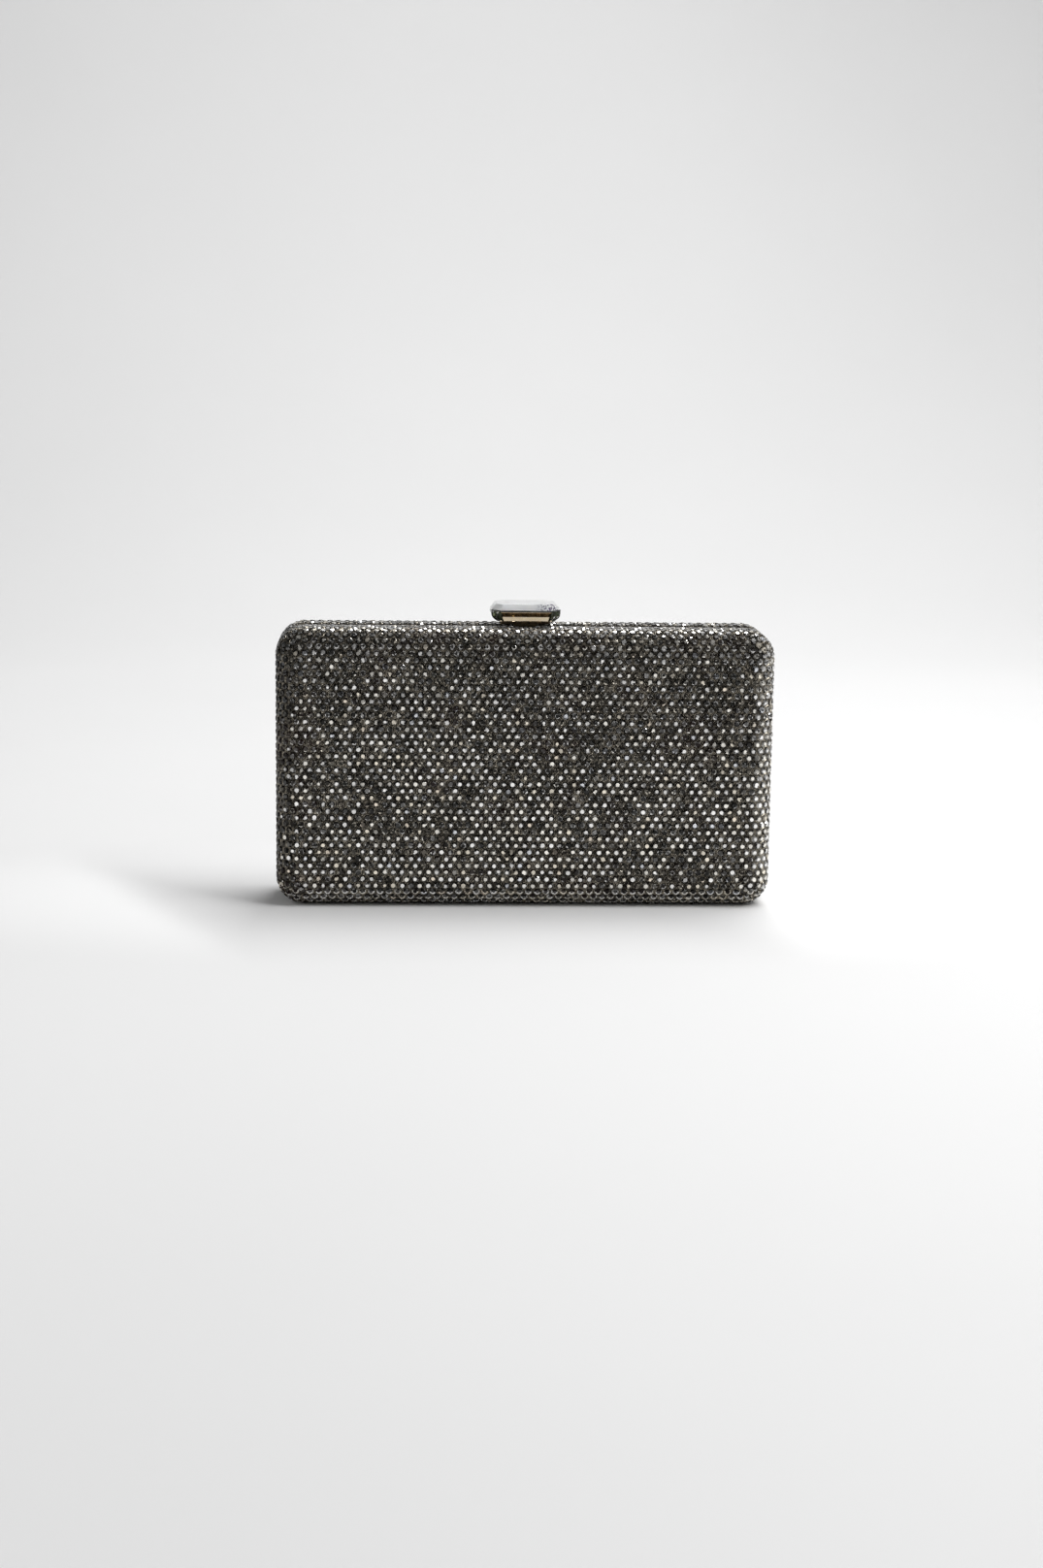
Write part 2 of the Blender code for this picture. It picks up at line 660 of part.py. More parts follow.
def frame(name, is_front):
    """A rim round the seam: a thin lip over the layers' edges, joined to a flange inside the shell."""
    side = -1 if is_front else 1
    lip = outline_mesh(name, [case_outline(LIP_DROP), case_outline(FLANGE_INNER_INSET)], LIP_THICKNESS)
    lip_middle = side * (LIP_START + LIP_END) / 2
    piece = place(name, lip, FRAME_METAL, FACING_Y, (0, lip_middle, CASE_MIDDLE))
    overlap = LIP_THICKNESS / 2
    flange_outlines = [case_outline(FLANGE_INSET), case_outline(FLANGE_INNER_INSET)]
    flange = outline_mesh(name + "_flange", flange_outlines, FLANGE_DEPTH + overlap)
    flange_middle = side * (LIP_END - overlap + FLANGE_END) / 2
    join(piece, as_cutter(name + "_flange", flange, FACING_Y, (0, flange_middle, CASE_MIDDLE)))
    return piece


# Hinges
def leaf_outline():
    """Side view of a rear leaf: the barrel, the strap beside the seam and the plate on the flange."""
    strap_back_angle = math.acos(STRAP_BACK / KNUCKLE_RADIUS)
    strap_front_angle = math.acos(LEAF_SET_BACK / KNUCKLE_RADIUS) - math.tau
    barrel = arc((0, HINGE_HEIGHT), KNUCKLE_RADIUS, strap_back_angle, strap_front_angle, BARREL_SEGMENTS)
    plate = [
        (LEAF_SET_BACK, LEAF_TOP),
        (LEAF_REACH, LEAF_TOP),
        (LEAF_REACH, LEAF_BOTTOM),
        (STRAP_BACK, LEAF_BOTTOM),
    ]
    return barrel + plate


def knuckle_cutter(name, centre, number):
    """Clears one knuckle's stretch of the barrel, with half of the gap on each side."""
    pitch = HINGE_LENGTH / KNUCKLE_COUNT
    low = centre - HINGE_LENGTH / 2 + number * pitch - PART_GAP / 2
    high = low + pitch + PART_GAP
    if number == 0:
        low -= CUT_OVERRUN
    if number == KNUCKLE_COUNT - 1:
        high += CUT_OVERRUN
    reach = CHANNEL_HALF_WIDTH + CUT_OVERRUN
    return as_cutter(name, box_mesh(name, (low, -reach, -CUT_OVERRUN), (high, reach, CHANNEL_TOP)))


def hinge_leaf(name, centre, is_front):
    """A leaf of one bent strip: every second knuckle is its own, and the bore runs through them all."""
    mesh = outline_mesh(name, [leaf_outline()], HINGE_LENGTH)
    turn = TURNED_TO_FRONT @ FACING_X if is_front else FACING_X
    piece = place(name, mesh, HINGE_METAL, turn, (centre, 0, 0))
    first_cleared = 0 if is_front else 1
    for number in range(first_cleared, KNUCKLE_COUNT, 2):
        cut(piece, knuckle_cutter(f"{name}_clearing_{number}", centre, number))
    bore_length = HINGE_LENGTH + 2 * CUT_OVERRUN
    bore = rod_mesh(name + "_bore", HINGE_BORE_RADIUS, bore_length, PIN_SEGMENTS)
    cut(piece, as_cutter(name + "_bore", bore, ALONG_X, (centre, 0, HINGE_HEIGHT)))
    return piece


def hinge_pin(name, centre, side):
    """A headed pin along X, with its head at the outer end of the barrel."""
    head_foot = HINGE_LENGTH / 2 + PART_GAP
    profile = [
        (0, head_foot + HINGE_PIN_HEAD_LENGTH),
        (HINGE_PIN_HEAD_RADIUS, head_foot + HINGE_PIN_HEAD_LENGTH),
        (HINGE_PIN_HEAD_RADIUS, head_foot),
        (HINGE_PIN_RADIUS, head_foot),
        (HINGE_PIN_RADIUS, -head_foot),
        (0, -head_foot),
    ]
    turn = Matrix.Rotation(side * math.pi / 2, 4, "Y")
    return turned_piece(name, profile, PIN_SEGMENTS, HINGE_METAL, turn, (centre, 0, HINGE_HEIGHT))


def rivet(name, grip, turn, location):
    """A rivet with a domed head on its seat at Z = 0 and a shank that runs down through what it holds."""
    profile = domed_head(RIVET_HEAD_RADIUS, RIVET_HEAD_HEIGHT, PART_GAP)
    profile += [(RIVET_RADIUS, PART_GAP), (RIVET_RADIUS, -grip), (0, -grip)]
    return turned_piece(name, profile, PIN_SEGMENTS, HINGE_METAL, turn, location)


def rivet_hole(name, turn, location):
    """A cutter for a rivet's hole, long enough for the plate and the flange together."""
    length = 2 * (LEAF_GAUGE + FLANGE_WALL + STRIKER_GAUGE)
    mesh = rod_mesh(name, RIVET_RADIUS + PART_GAP, length, PIN_SEGMENTS)
    return as_cutter(name, mesh, turn, location)


def hinge(side_name, side, front_frame, rear_frame):
    """A hinge at one end of the bottom seam. Gives back the pieces that swing with the front half."""
    centre = side * HINGE_CENTRE
    swinging = []
    pocket_half = HINGE_LENGTH / 2 + PART_GAP
    pocket_back = STRAP_BACK + PART_GAP
    pocket_name = f"hinge_pocket_{side_name}"
    pocket_low = (centre - pocket_half, -pocket_back, -CUT_OVERRUN)
    pocket_high = (centre + pocket_half, pocket_back, LEAF_TOP)
    pocket = as_cutter(pocket_name, box_mesh(pocket_name, pocket_low, pocket_high))
    for half_name, carrier, direction in (("front", front_frame, -1), ("rear", rear_frame, 1)):
        is_front = half_name == "front"
        leaf = hinge_leaf(f"hinge_leaf_{half_name}_{side_name}", centre, is_front)
        cut(carrier, pocket)
        made = [leaf]
        for number, step in enumerate((-1, 1), start=1):
            place_x = centre + step * LEAF_RIVET_SPACING / 2
            spot = (place_x, direction * FLANGE_MIDDLE, LEAF_TOP)
            label = f"leaf_rivet_{half_name}_{side_name}_{number}"
            hole = rivet_hole(label + "_hole", FLAT, spot)
            cut(leaf, hole)
            cut(carrier, hole)
            made.append(rivet(label, LEAF_GAUGE + PART_GAP + FLANGE_WALL, FLAT, spot))
        if is_front:
            swinging += made
    hinge_pin(f"hinge_pin_{side_name}", centre, side)
    return swinging


# Clasp
def oblong(width, depth, corner):
    """An oblong with its corners cut off, anticlockwise from the right front."""
    across = width / 2
    along = depth / 2
    return [
        (across, -along + corner),
        (across, along - corner),
        (across - corner, along),
        (-across + corner, along),
        (-across, along - corner),
        (-across, -along + corner),
        (-across + corner, -along),
        (across - corner, -along),
    ]


def clasp_stone():
    """The step-cut stone: a table, a thin bevel, an upright girdle and a step that tapers to the foot.

    Only the corner facets narrow as the step goes in, so the four main facets keep their width.
    """
    foot = 2 * STONE_STEP_INSET
    table = 2 * STONE_TABLE_BEVEL
    corner_foot = STONE_CORNER_CUT - STONE_STEP_INSET
    corner_table = STONE_CORNER_CUT - STONE_TABLE_BEVEL
    girdle = oblong(STONE_WIDTH, STONE_DEPTH, STONE_CORNER_CUT)
    rings = [
        (oblong(STONE_WIDTH - foot, STONE_DEPTH - foot, corner_foot), STONE_BOTTOM),
        (girdle, STONE_STEP_TOP),
        (girdle, STONE_TOP - STONE_TABLE_BEVEL),
        (oblong(STONE_WIDTH - table, STONE_DEPTH - table, corner_table), STONE_TOP),
    ]
    work = bmesh.new()
    loops = [[work.verts.new((x, y, z - STONE_BOTTOM)) for x, y in outline] for outline, z in rings]
    for lower, upper in zip(loops, loops[1:]):
        count = len(lower)
        for spot in range(count):
            following = (spot + 1) % count
            work.faces.new((lower[spot], lower[following], upper[following], upper[spot]))
    work.faces.new(reversed(loops[0]))
    work.faces.new(loops[-1])
    mesh = bpy.data.meshes.new("clasp_stone")
    work.to_mesh(mesh)
    work.free()
    return place("clasp_stone", mesh, CLEAR_STONE, FLAT, (0, 0, STONE_BOTTOM))


def clasp_setting():
    """The metal foot of the stone: a thin cup plate on a pedestal, with a socket for the lever's neck."""
    foot = 2 * (STONE_STEP_INSET + CUP_MARGIN)
    corner = STONE_CORNER_CUT - STONE_STEP_INSET
    outline = oblong(STONE_WIDTH - foot, STONE_DEPTH - foot, corner)
    cup = outline_mesh("clasp_setting", [outline], CUP_THICKNESS)
    piece = place("clasp_setting", cup, CLASP_METAL, FLAT, (0, 0, (CUP_TOP + CUP_BOTTOM) / 2))
    low = (-PEDESTAL_WIDTH / 2, -PEDESTAL_FRONT_OVERHANG, PEDESTAL_BOTTOM)
    high = (PEDESTAL_WIDTH / 2, PEDESTAL_BACK, CUP_BOTTOM + CUP_THICKNESS / 2)
    join(piece, as_cutter("clasp_pedestal", box_mesh("clasp_pedestal", low, high)))
    socket_half = LEVER_WIDTH / 2 + PART_GAP
    low = (-socket_half, NECK_DISTANCE_FROM_SEAM - PART_GAP, PEDESTAL_BOTTOM - CUT_OVERRUN)
    high = (socket_half, NECK_BACK + PART_GAP, SOCKET_TOP)
    cut(piece, as_cutter("clasp_socket", box_mesh("clasp_socket", low, high)))
    return piece


def lever_outline():
    """Side view of the lever: the hook at the front of its arm, the neck above it and the tail behind."""
    fillet_centre = (NECK_BACK + NECK_FILLET, ARM_TOP + NECK_FILLET)
    fillet = arc(fillet_centre, NECK_FILLET, -math.pi / 2, -math.pi, DOME_STEPS)
    return [
        (NECK_DISTANCE_FROM_SEAM, NECK_TOP),
        (NECK_DISTANCE_FROM_SEAM, TOOTH_BOTTOM + TOOTH_RAMP),
        (NECK_DISTANCE_FROM_SEAM + TOOTH_RAMP, TOOTH_BOTTOM),
        (TOOTH_BACK, TOOTH_BOTTOM),
        (TOOTH_BACK, ARM_BOTTOM),
        (TAIL_END, ARM_BOTTOM),
        (TAIL_END, ARM_TOP),
    ] + fillet + [(NECK_BACK, NECK_TOP)]


def clasp_lever():
    """The lever in one piece with its hub, bored for the pivot pin."""
    mesh = outline_mesh("clasp_lever", [lever_outline()], LEVER_WIDTH)
    piece = place("clasp_lever", mesh, CLASP_METAL, FACING_X)
    hub = rod_mesh("lever_hub", HUB_RADIUS, HUB_LENGTH, BARREL_SEGMENTS)
    join(piece, as_cutter("lever_hub", hub, ALONG_X, (0, PIVOT_Y, PIVOT_Z)))
    bore = rod_mesh("lever_bore", PIVOT_PIN_RADIUS + PART_GAP, HUB_LENGTH + CUT_OVERRUN, PIN_SEGMENTS)
    cut(piece, as_cutter("lever_bore", bore, ALONG_X, (0, PIVOT_Y, PIVOT_Z)))
    return piece


def grub_screw(setting, lever):
    """The screw that holds the setting on the neck, let in from behind."""
    tip = NECK_BACK - GRUB_SCREW_BITE
    length = PEDESTAL_BACK - GRUB_SCREW_RECESS - tip
    spot = (0, tip + length / 2, GRUB_SCREW_HEIGHT)
    mesh = rod_mesh("clasp_grub_screw", GRUB_SCREW_RADIUS, length, PIN_SEGMENTS)
    piece = place("clasp_grub_screw", mesh, SPRING_STEEL, ALONG_Y, spot)
    shade_round(piece)
    hole_length = length + PART_GAP + CUT_OVERRUN
    hole_spot = (0, tip - PART_GAP + hole_length / 2, GRUB_SCREW_HEIGHT)
    hole = rod_mesh("grub_screw_hole", GRUB_SCREW_RADIUS + PART_GAP, hole_length, PIN_SEGMENTS)
    cutter = as_cutter("grub_screw_hole", hole, ALONG_Y, hole_spot)
    cut(setting, cutter)
    cut(lever, cutter)
    return piece


def bracket_outline():
    """Side view of the bracket: its ears follow the rounding of the lining behind them."""
    back_centre = (BRACKET_BACK - BRACKET_BACK_RADIUS, BRACKET_TOP - BRACKET_BACK_RADIUS)
    front_centre = (BRACKET_FRONT + BRACKET_FRONT_RADIUS, BRACKET_TOP - BRACKET_FRONT_RADIUS)
    corners = [(BRACKET_FRONT, BRACKET_BOTTOM), (BRACKET_BACK, BRACKET_BOTTOM)]
    back = arc(back_centre, BRACKET_BACK_RADIUS, 0, math.pi / 2, EDGE_SEGMENTS)
    front = arc(front_centre, BRACKET_FRONT_RADIUS, math.pi / 2, math.pi, DOME_STEPS)
    return corners + back + front


def clasp_bracket():
    """The lever's bracket: a box of folded sheet, open to the seam and upwards, with a spring boss."""
    block = outline_mesh("clasp_bracket", [bracket_outline()], 2 * EAR_OUTER)
    piece = place("clasp_bracket", block, HINGE_METAL, FACING_X)
    low = (-EAR_INNER, BRACKET_FRONT - CUT_OVERRUN, BRACKET_FLOOR)
    high = (EAR_INNER, BRACKET_PLATE_FRONT, BRACKET_TOP + CUT_OVERRUN)
    cut(piece, as_cutter("bracket_inside", box_mesh("bracket_inside", low, high)))
    boss_radius = SPRING_RADIUS - SPRING_WIRE_RADIUS - PART_GAP
    boss_length = SPRING_BOSS_HEIGHT + BRACKET_WALL / 2
    boss = rod_mesh("spring_boss", boss_radius, boss_length, PIN_SEGMENTS)
    boss_spot = (0, SPRING_Y, BRACKET_FLOOR + SPRING_BOSS_HEIGHT - boss_length / 2)
    join(piece, as_cutter("spring_boss", boss, FLAT, boss_spot))
    ear_hole = rod_mesh("ear_hole", PIVOT_PIN_RADIUS + PART_GAP, 2 * EAR_OUTER + CUT_OVERRUN, PIN_SEGMENTS)
    cut(piece, as_cutter("ear_hole", ear_hole, ALONG_X, (0, PIVOT_Y, PIVOT_Z)))
    return piece


def pivot_pin():
    """The lever's pin, with a flat head outside each ear."""
    head_foot = EAR_OUTER + PART_GAP
    head_end = head_foot + PIVOT_PIN_HEAD_LENGTH
    profile = [
        (0, head_end),
        (PIVOT_PIN_HEAD_RADIUS, head_end),
        (PIVOT_PIN_HEAD_RADIUS, head_foot),
        (PIVOT_PIN_RADIUS, head_foot),
        (PIVOT_PIN_RADIUS, -head_foot),
        (PIVOT_PIN_HEAD_RADIUS, -head_foot),
        (PIVOT_PIN_HEAD_RADIUS, -head_end),
        (0, -head_end),
    ]
    spot = (0, PIVOT_Y, PIVOT_Z)
    return turned_piece("clasp_pivot_pin", profile, PIN_SEGMENTS, SPRING_STEEL, ALONG_X, spot)


def bracket_screws(bracket, lining, shell):
    """Two screws through the bracket's back plate and the lining into the shell."""
    height = BRACKET_BOTTOM + BRACKET_SCREW_RISE
    shell_back = CASE_DEPTH / 2 - SHELL_INSET
    grip = shell_back - BRACKET_SCREW_TIP - BRACKET_PLATE_FRONT
    for number, step in enumerate((-1, 1), start=1):
        label = f"bracket_screw_{number}"
        spot = (step * BRACKET_SCREW_SPACING / 2, BRACKET_PLATE_FRONT, height)
        profile = domed_head(BRACKET_SCREW_HEAD_RADIUS, BRACKET_SCREW_HEAD_HEIGHT, PART_GAP)
        profile += [(BRACKET_SCREW_RADIUS, PART_GAP), (BRACKET_SCREW_RADIUS, -grip), (0, -grip)]
        turn = Matrix.Rotation(math.pi / 2, 4, "X")
        turned_piece(label, profile, PIN_SEGMENTS, SPRING_STEEL, turn, spot)
        hole_length = 2 * (shell_back + PART_GAP / 2 - BRACKET_PLATE_FRONT)
        hole = rod_mesh(label + "_hole", BRACKET_SCREW_RADIUS + PART_GAP, hole_length, PIN_SEGMENTS)
        cutter = as_cutter(label + "_hole", hole, ALONG_Y, spot)
        cut(bracket, cutter)
        cut(lining, cutter)
        cut(shell, cutter)


def clasp_spring():
    """One unbroken helix on a POLY spline between the bracket's floor and the lever's tail."""
    rise = SPRING_TOP - SPRING_BOTTOM - 2 * SPRING_WIRE_RADIUS
    turns = rise / SPRING_PITCH
    count = round(turns * POINTS_PER_CURL) + 1
    low = SPRING_BOTTOM + SPRING_WIRE_RADIUS
    points = []
    for step in range(count):
        share = step / (count - 1)
        angle = math.tau * turns * share
        across = SPRING_RADIUS * math.cos(angle)
        along = SPRING_RADIUS * math.sin(angle)
        points.append(Vector((across, along, low + rise * share)))
    curve = bpy.data.curves.new("clasp_spring", "CURVE")
    curve.dimensions = "3D"
    curve.bevel_depth = SPRING_WIRE_RADIUS
    curve.bevel_resolution = 1
    curve.use_fill_caps = True
    spline = curve.splines.new("POLY")
    spline.points.add(count - 1)
    for point, spot in zip(spline.points, points):
        point.co = (*spot, 1)
    curve.materials.append(SPRING_STEEL)
    piece = bpy.data.objects.new("clasp_spring", curve)
    piece.location = (0, SPRING_Y, 0)
    PIECES.objects.link(piece)
    apart = POINTS_PER_CURL // 2
    gaps = [(points[a] - points[b]).length for a in range(count) for b in range(a + apart, count)]
    least_gap = min(gaps) - 2 * SPRING_WIRE_RADIUS
    print(f"clasp_spring: {turns:.1f} turns, least gap to itself {least_gap:.5f} m")
    return piece


def striker_outline():
    """Side view of the striker: a plate under the frame, a leg down, an arm across the seam and its lip."""
    leg_back = STRIKER_PLATE_FRONT + STRIKER_GAUGE
    plate_bottom = STRIKER_PLATE_TOP - STRIKER_GAUGE
    arm_bottom = STRIKER_ARM_TOP - STRIKER_GAUGE
    return [
        (STRIKER_PLATE_BACK, STRIKER_PLATE_TOP),
        (STRIKER_PLATE_FRONT, STRIKER_PLATE_TOP),
        (STRIKER_PLATE_FRONT, arm_bottom),
        (STRIKER_LIP_BACK, arm_bottom),
        (STRIKER_LIP_BACK, STRIKER_LIP_TOP),
        (STRIKER_LIP_FRONT, STRIKER_LIP_TOP),
        (STRIKER_LIP_FRONT, STRIKER_ARM_TOP),
        (leg_back, STRIKER_ARM_TOP),
        (leg_back, plate_bottom),
        (STRIKER_PLATE_BACK, plate_bottom),
    ]


def striker(front_frame):
    """The catch plate of the front half with its two rivets, which come up from below."""
    mesh = outline_mesh("striker", [striker_outline()], LEVER_WIDTH)
    piece = place("striker", mesh, HINGE_METAL, FACING_X)
    made = [piece]
    middle = (STRIKER_PLATE_BACK + STRIKER_PLATE_FRONT + STRIKER_GAUGE) / 2
    upside_down = Matrix.Rotation(math.pi, 4, "X")
    for number, step in enumerate((-1, 1), start=1):
        label = f"striker_rivet_{number}"
        spot = (step * STRIKER_RIVET_SPACING / 2, middle, STRIKER_PLATE_TOP - STRIKER_GAUGE)
        hole = rivet_hole(label + "_hole", FLAT, spot)
        cut(piece, hole)
        cut(front_frame, hole)
        made.append(rivet(label, STRIKER_GAUGE + PART_GAP + FLANGE_WALL, upside_down, spot))
    return made


# Assembly
def build():
    """Makes both halves, the hinges and the clasp, and hangs the moving pieces on their axes."""
    halves = {}
    for half_name in ("front", "rear"):
        is_front = half_name == "front"
        cover = stone_cover(f"{half_name}_stone_cover", is_front)
        shell = tray(f"{half_name}_shell", SHELL_INSET, SHELL_WALL, TRAY_START, CASE_METAL, is_front)
        lining = tray(
            f"{half_name}_lining", FLANGE_INSET, LINING_WALL, LINING_START, LINING_CLOTH, is_front
        )
        halves[half_name] = (cover, shell, frame(f"{half_name}_frame", is_front), lining)

    reach = CASE_WIDTH / 2 + CUT_OVERRUN
    low = (-reach, -CHANNEL_HALF_WIDTH, -CUT_OVERRUN)
    high = (reach, CHANNEL_HALF_WIDTH, CHANNEL_TOP)
    channel = as_cutter("hinge_channel", box_mesh("hinge_channel", low, high))
    for cover, shell, rim, lining in halves.values():
        cut(cover, channel)
        cut(shell, channel)
        cut(rim, channel)

    front_cover, front_shell, front_frame, front_lining = halves["front"]
    rear_cover, rear_shell, rear_frame, rear_lining = halves["rear"]
    slot_half = LEVER_WIDTH / 2 + SLOT_SIDE_CLEARANCE
    slot_low = (-slot_half, 0, CASE_HEIGHT - FLANGE_INNER_INSET - CUT_OVERRUN)
    slot_high = (slot_half, SLOT_BACK, CASE_HEIGHT + CUT_OVERRUN)
    slot = as_cutter("clasp_slot", box_mesh("clasp_slot", slot_low, slot_high))
    cut(rear_cover, slot)
    cut(rear_shell, slot)
    cut(rear_frame, slot)

    swinging = [front_cover, front_shell, front_frame, front_lining]
    swinging += hinge("left", -1, front_frame, rear_frame)
    swinging += hinge("right", 1, front_frame, rear_frame)
    swinging += striker(front_frame)
    hang_on(new_pivot("front_half_axis", (0, 0, HINGE_HEIGHT)), *swinging)

    setting = clasp_setting()
    lever = clasp_lever()
    screw = grub_screw(setting, lever)
    bracket = clasp_bracket()
    pivot_pin()
    bracket_screws(bracket, rear_lining, rear_shell)
    clasp_spring()
    hang_on(new_pivot("clasp_axis", (0, PIVOT_Y, PIVOT_Z)), clasp_stone(), setting, lever, screw)


build()
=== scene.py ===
# %% [markdown]
# # A stone-covered box clutch
#
# The real thing is a small hard evening case: two shallow metal trays on a hinge along the bottom,
# covered all over with a mesh of little smoky glass stones, and shut by one large clear stone on top.
# The trays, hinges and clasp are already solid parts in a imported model, and this lesson dresses them.
# It loads that model first, because every new piece takes its place from it.

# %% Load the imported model
import math

import bpy
import numpy as np
from mathutils import Matrix, Vector


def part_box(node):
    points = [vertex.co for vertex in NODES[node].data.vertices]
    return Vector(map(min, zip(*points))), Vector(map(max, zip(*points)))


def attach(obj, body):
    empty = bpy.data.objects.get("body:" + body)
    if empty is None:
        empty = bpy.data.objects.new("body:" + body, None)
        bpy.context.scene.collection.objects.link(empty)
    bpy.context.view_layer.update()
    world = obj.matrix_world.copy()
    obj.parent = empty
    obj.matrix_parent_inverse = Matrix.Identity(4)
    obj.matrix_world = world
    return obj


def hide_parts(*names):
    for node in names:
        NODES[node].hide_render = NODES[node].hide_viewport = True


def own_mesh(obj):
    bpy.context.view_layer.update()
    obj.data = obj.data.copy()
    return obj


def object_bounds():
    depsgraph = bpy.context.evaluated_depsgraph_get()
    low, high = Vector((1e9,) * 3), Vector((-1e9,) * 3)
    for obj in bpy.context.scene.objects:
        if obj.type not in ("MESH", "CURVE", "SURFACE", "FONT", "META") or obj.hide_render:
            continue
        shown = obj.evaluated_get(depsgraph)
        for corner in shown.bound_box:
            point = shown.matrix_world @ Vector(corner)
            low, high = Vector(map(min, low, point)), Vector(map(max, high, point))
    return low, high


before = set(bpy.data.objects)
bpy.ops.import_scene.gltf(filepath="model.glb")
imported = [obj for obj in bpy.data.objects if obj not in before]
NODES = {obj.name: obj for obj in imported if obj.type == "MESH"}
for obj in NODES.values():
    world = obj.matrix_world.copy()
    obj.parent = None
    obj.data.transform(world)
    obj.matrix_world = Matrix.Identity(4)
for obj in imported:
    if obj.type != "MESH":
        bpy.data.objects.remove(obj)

SOLID_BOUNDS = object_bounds()

# %% [markdown]
# ## The camera
#
# The picture was taken from slightly above with a normal lens, so the case's top shows as a narrow band.
# A camera could be aimed with a Track To constraint, but writing its three axes out from yaw, pitch and
# roll keeps the small roll of a hand-held picture.

# %% Place the camera
CAMERA_PLACE = Vector((-0.0444, -0.9135, 0.2050))
CAMERA_YAW = 0.0480
CAMERA_PITCH = 0.1762
CAMERA_ROLL = 0.0128
LENS_MM = 58.0
SENSOR_MM = 36.0
NEAREST_SEEN = 0.01


def camera_axes(yaw, pitch, roll):
    """Right, up and forward of a camera: forward from yaw and pitch, then right and up turned by the roll."""
    forward = Vector((math.sin(yaw) * math.cos(pitch), math.cos(yaw) * math.cos(pitch), -math.sin(pitch)))
    right = forward.cross(Vector((0, 0, 1))).normalized()
    up = right.cross(forward)
    turned_right = right * math.cos(roll) + up * math.sin(roll)
    turned_up = up * math.cos(roll) - right * math.sin(roll)
    return turned_right, turned_up, forward


camera = bpy.data.objects.new("camera", bpy.data.cameras.new("camera"))
camera.data.lens = LENS_MM
camera.data.sensor_width = SENSOR_MM
camera.data.clip_start = NEAREST_SEEN
right, up, forward = camera_axes(CAMERA_YAW, CAMERA_PITCH, CAMERA_ROLL)
camera.matrix_world = Matrix.Translation(CAMERA_PLACE) @ Matrix((right, up, -forward)).transposed().to_4x4()
bpy.context.scene.collection.objects.link(camera)
bpy.context.scene.camera = camera
bpy.context.scene.view_settings.view_transform = "Standard"
print("camera looks along", tuple(round(value, 3) for value in forward))

# %% [markdown]
# ## Arrays into meshes
#
# Every new surface below is worked out as whole numpy arrays. These helpers turn arrays of points and faces
# into an object at the origin, hang it on the body that carries it, and number its faces for its finish.


# %% Mesh helpers
def make_piece(name, points, faces, material, smooth=False):
    """An object from an array of points and a list of face arrays, each (m, corners)."""
    mesh = bpy.data.meshes.new(name)
    rows = [row for block in faces for row in np.asarray(block).tolist()]
    mesh.from_pydata(np.reshape(points, (-1, 3)).tolist(), [], rows)
    mesh.polygons.foreach_set("use_smooth", np.full(len(mesh.polygons), smooth))
    mesh.materials.append(material)
    mesh.update()
    piece = bpy.data.objects.new(name, mesh)
    bpy.context.scene.collection.objects.link(piece)
    return piece


def hang(piece, body, slot, *nodes):
    """The piece rides on a body and stands for the named solid parts; slot is not used."""
    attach(piece, body)
    if nodes:
        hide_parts(*nodes)
    triangles = sum(len(face.vertices) - 2 for face in piece.data.polygons)
    print(f"{piece.name}: {triangles} triangles on {body}")
    return piece


def hang_on_cover(piece, half):
    """The piece is a layer of the stone cover of one half."""
    return hang(piece, f"{half}_half", "dark_stones", f"{half}_stone_cover")


def number_faces(piece, **numbers):
    """Stores one number for each face under each name."""
    for label, values in numbers.items():
        attribute = piece.data.attributes.new(label, "FLOAT", "FACE")
        attribute.data.foreach_set("value", values.astype(np.float32))


def ring_faces(first, second, count):
    """Quads between two rings of the same number of points, for many pairs at once: shape (pairs, count, 4).

    first and second hold the index of each ring's first point; corner k of a quad runs
    first k, first k + 1, second k + 1, second k, with k taken round the ring.
    """
    here = np.arange(count)
    following = (here + 1) % count
    first = np.asarray(first).reshape(-1, 1)
    second = np.asarray(second).reshape(-1, 1)
    corners = (first + here, first + following, second + following, second + here)
    return np.stack(corners, axis=-1).reshape(-1, 4)


def across(vectors, axes):
    """The part of each vector at right angles to its axis, as a unit vector."""
    flat = vectors - axes * (vectors * axes).sum(1, keepdims=True)
    return flat / np.linalg.norm(flat, axis=1, keepdims=True)


def spokes(first, second, angle):
    """Directions first * cos + second * sin of each angle, shape (n, angles, 3)."""
    return first[:, None] * np.cos(angle)[..., None] + second[:, None] * np.sin(angle)[..., None]


def ringed_piece(name, rings, material, flip=False, smooth=False):
    """Closed bodies from an array of rings, shape (bodies, rings, corners, 3).

    The faces are all first rings, then the walls from each ring to the next, then all last rings. They look
    outwards where the rings turn anticlockwise seen from the first one, and flip turns them round.
    """
    bodies, stack, count = rings.shape[:3]
    start = np.arange(bodies) * stack * count
    last = start + (stack - 1) * count
    walls = [ring_faces(start + (k + 1) * count, start + k * count, count) for k in range(stack - 1)]
    faces = [start[:, None] + np.arange(count), *walls, last[:, None] + np.arange(count)[::-1]]
    return make_piece(name, rings, [block[:, ::-1] for block in faces] if flip else faces, material, smooth)


# %% [markdown]
# ## Finishes
#
# A finish is a node material. Effects that several finishes share, such as a change of tone from place to
# place, fine grain, and the bright rub on an edge, are node groups with named inputs, so that each material
# sets its own amounts. Constants stay on the shader's own sockets.

# %% Node helpers
MIX_FIRST, MIX_SECOND, MIX_RESULT = 6, 7, 2  # the colour sockets of a mix node


def add_node(tree, kind, inputs=None, **settings):
    """A new shader node of a kind, with its settings and the values of its inputs."""
    node = tree.nodes.new("ShaderNode" + kind)
    for key, value in settings.items():
        setattr(node, key, value)
    for key, value in (inputs or {}).items():
        node.inputs[key].default_value = value
    return node


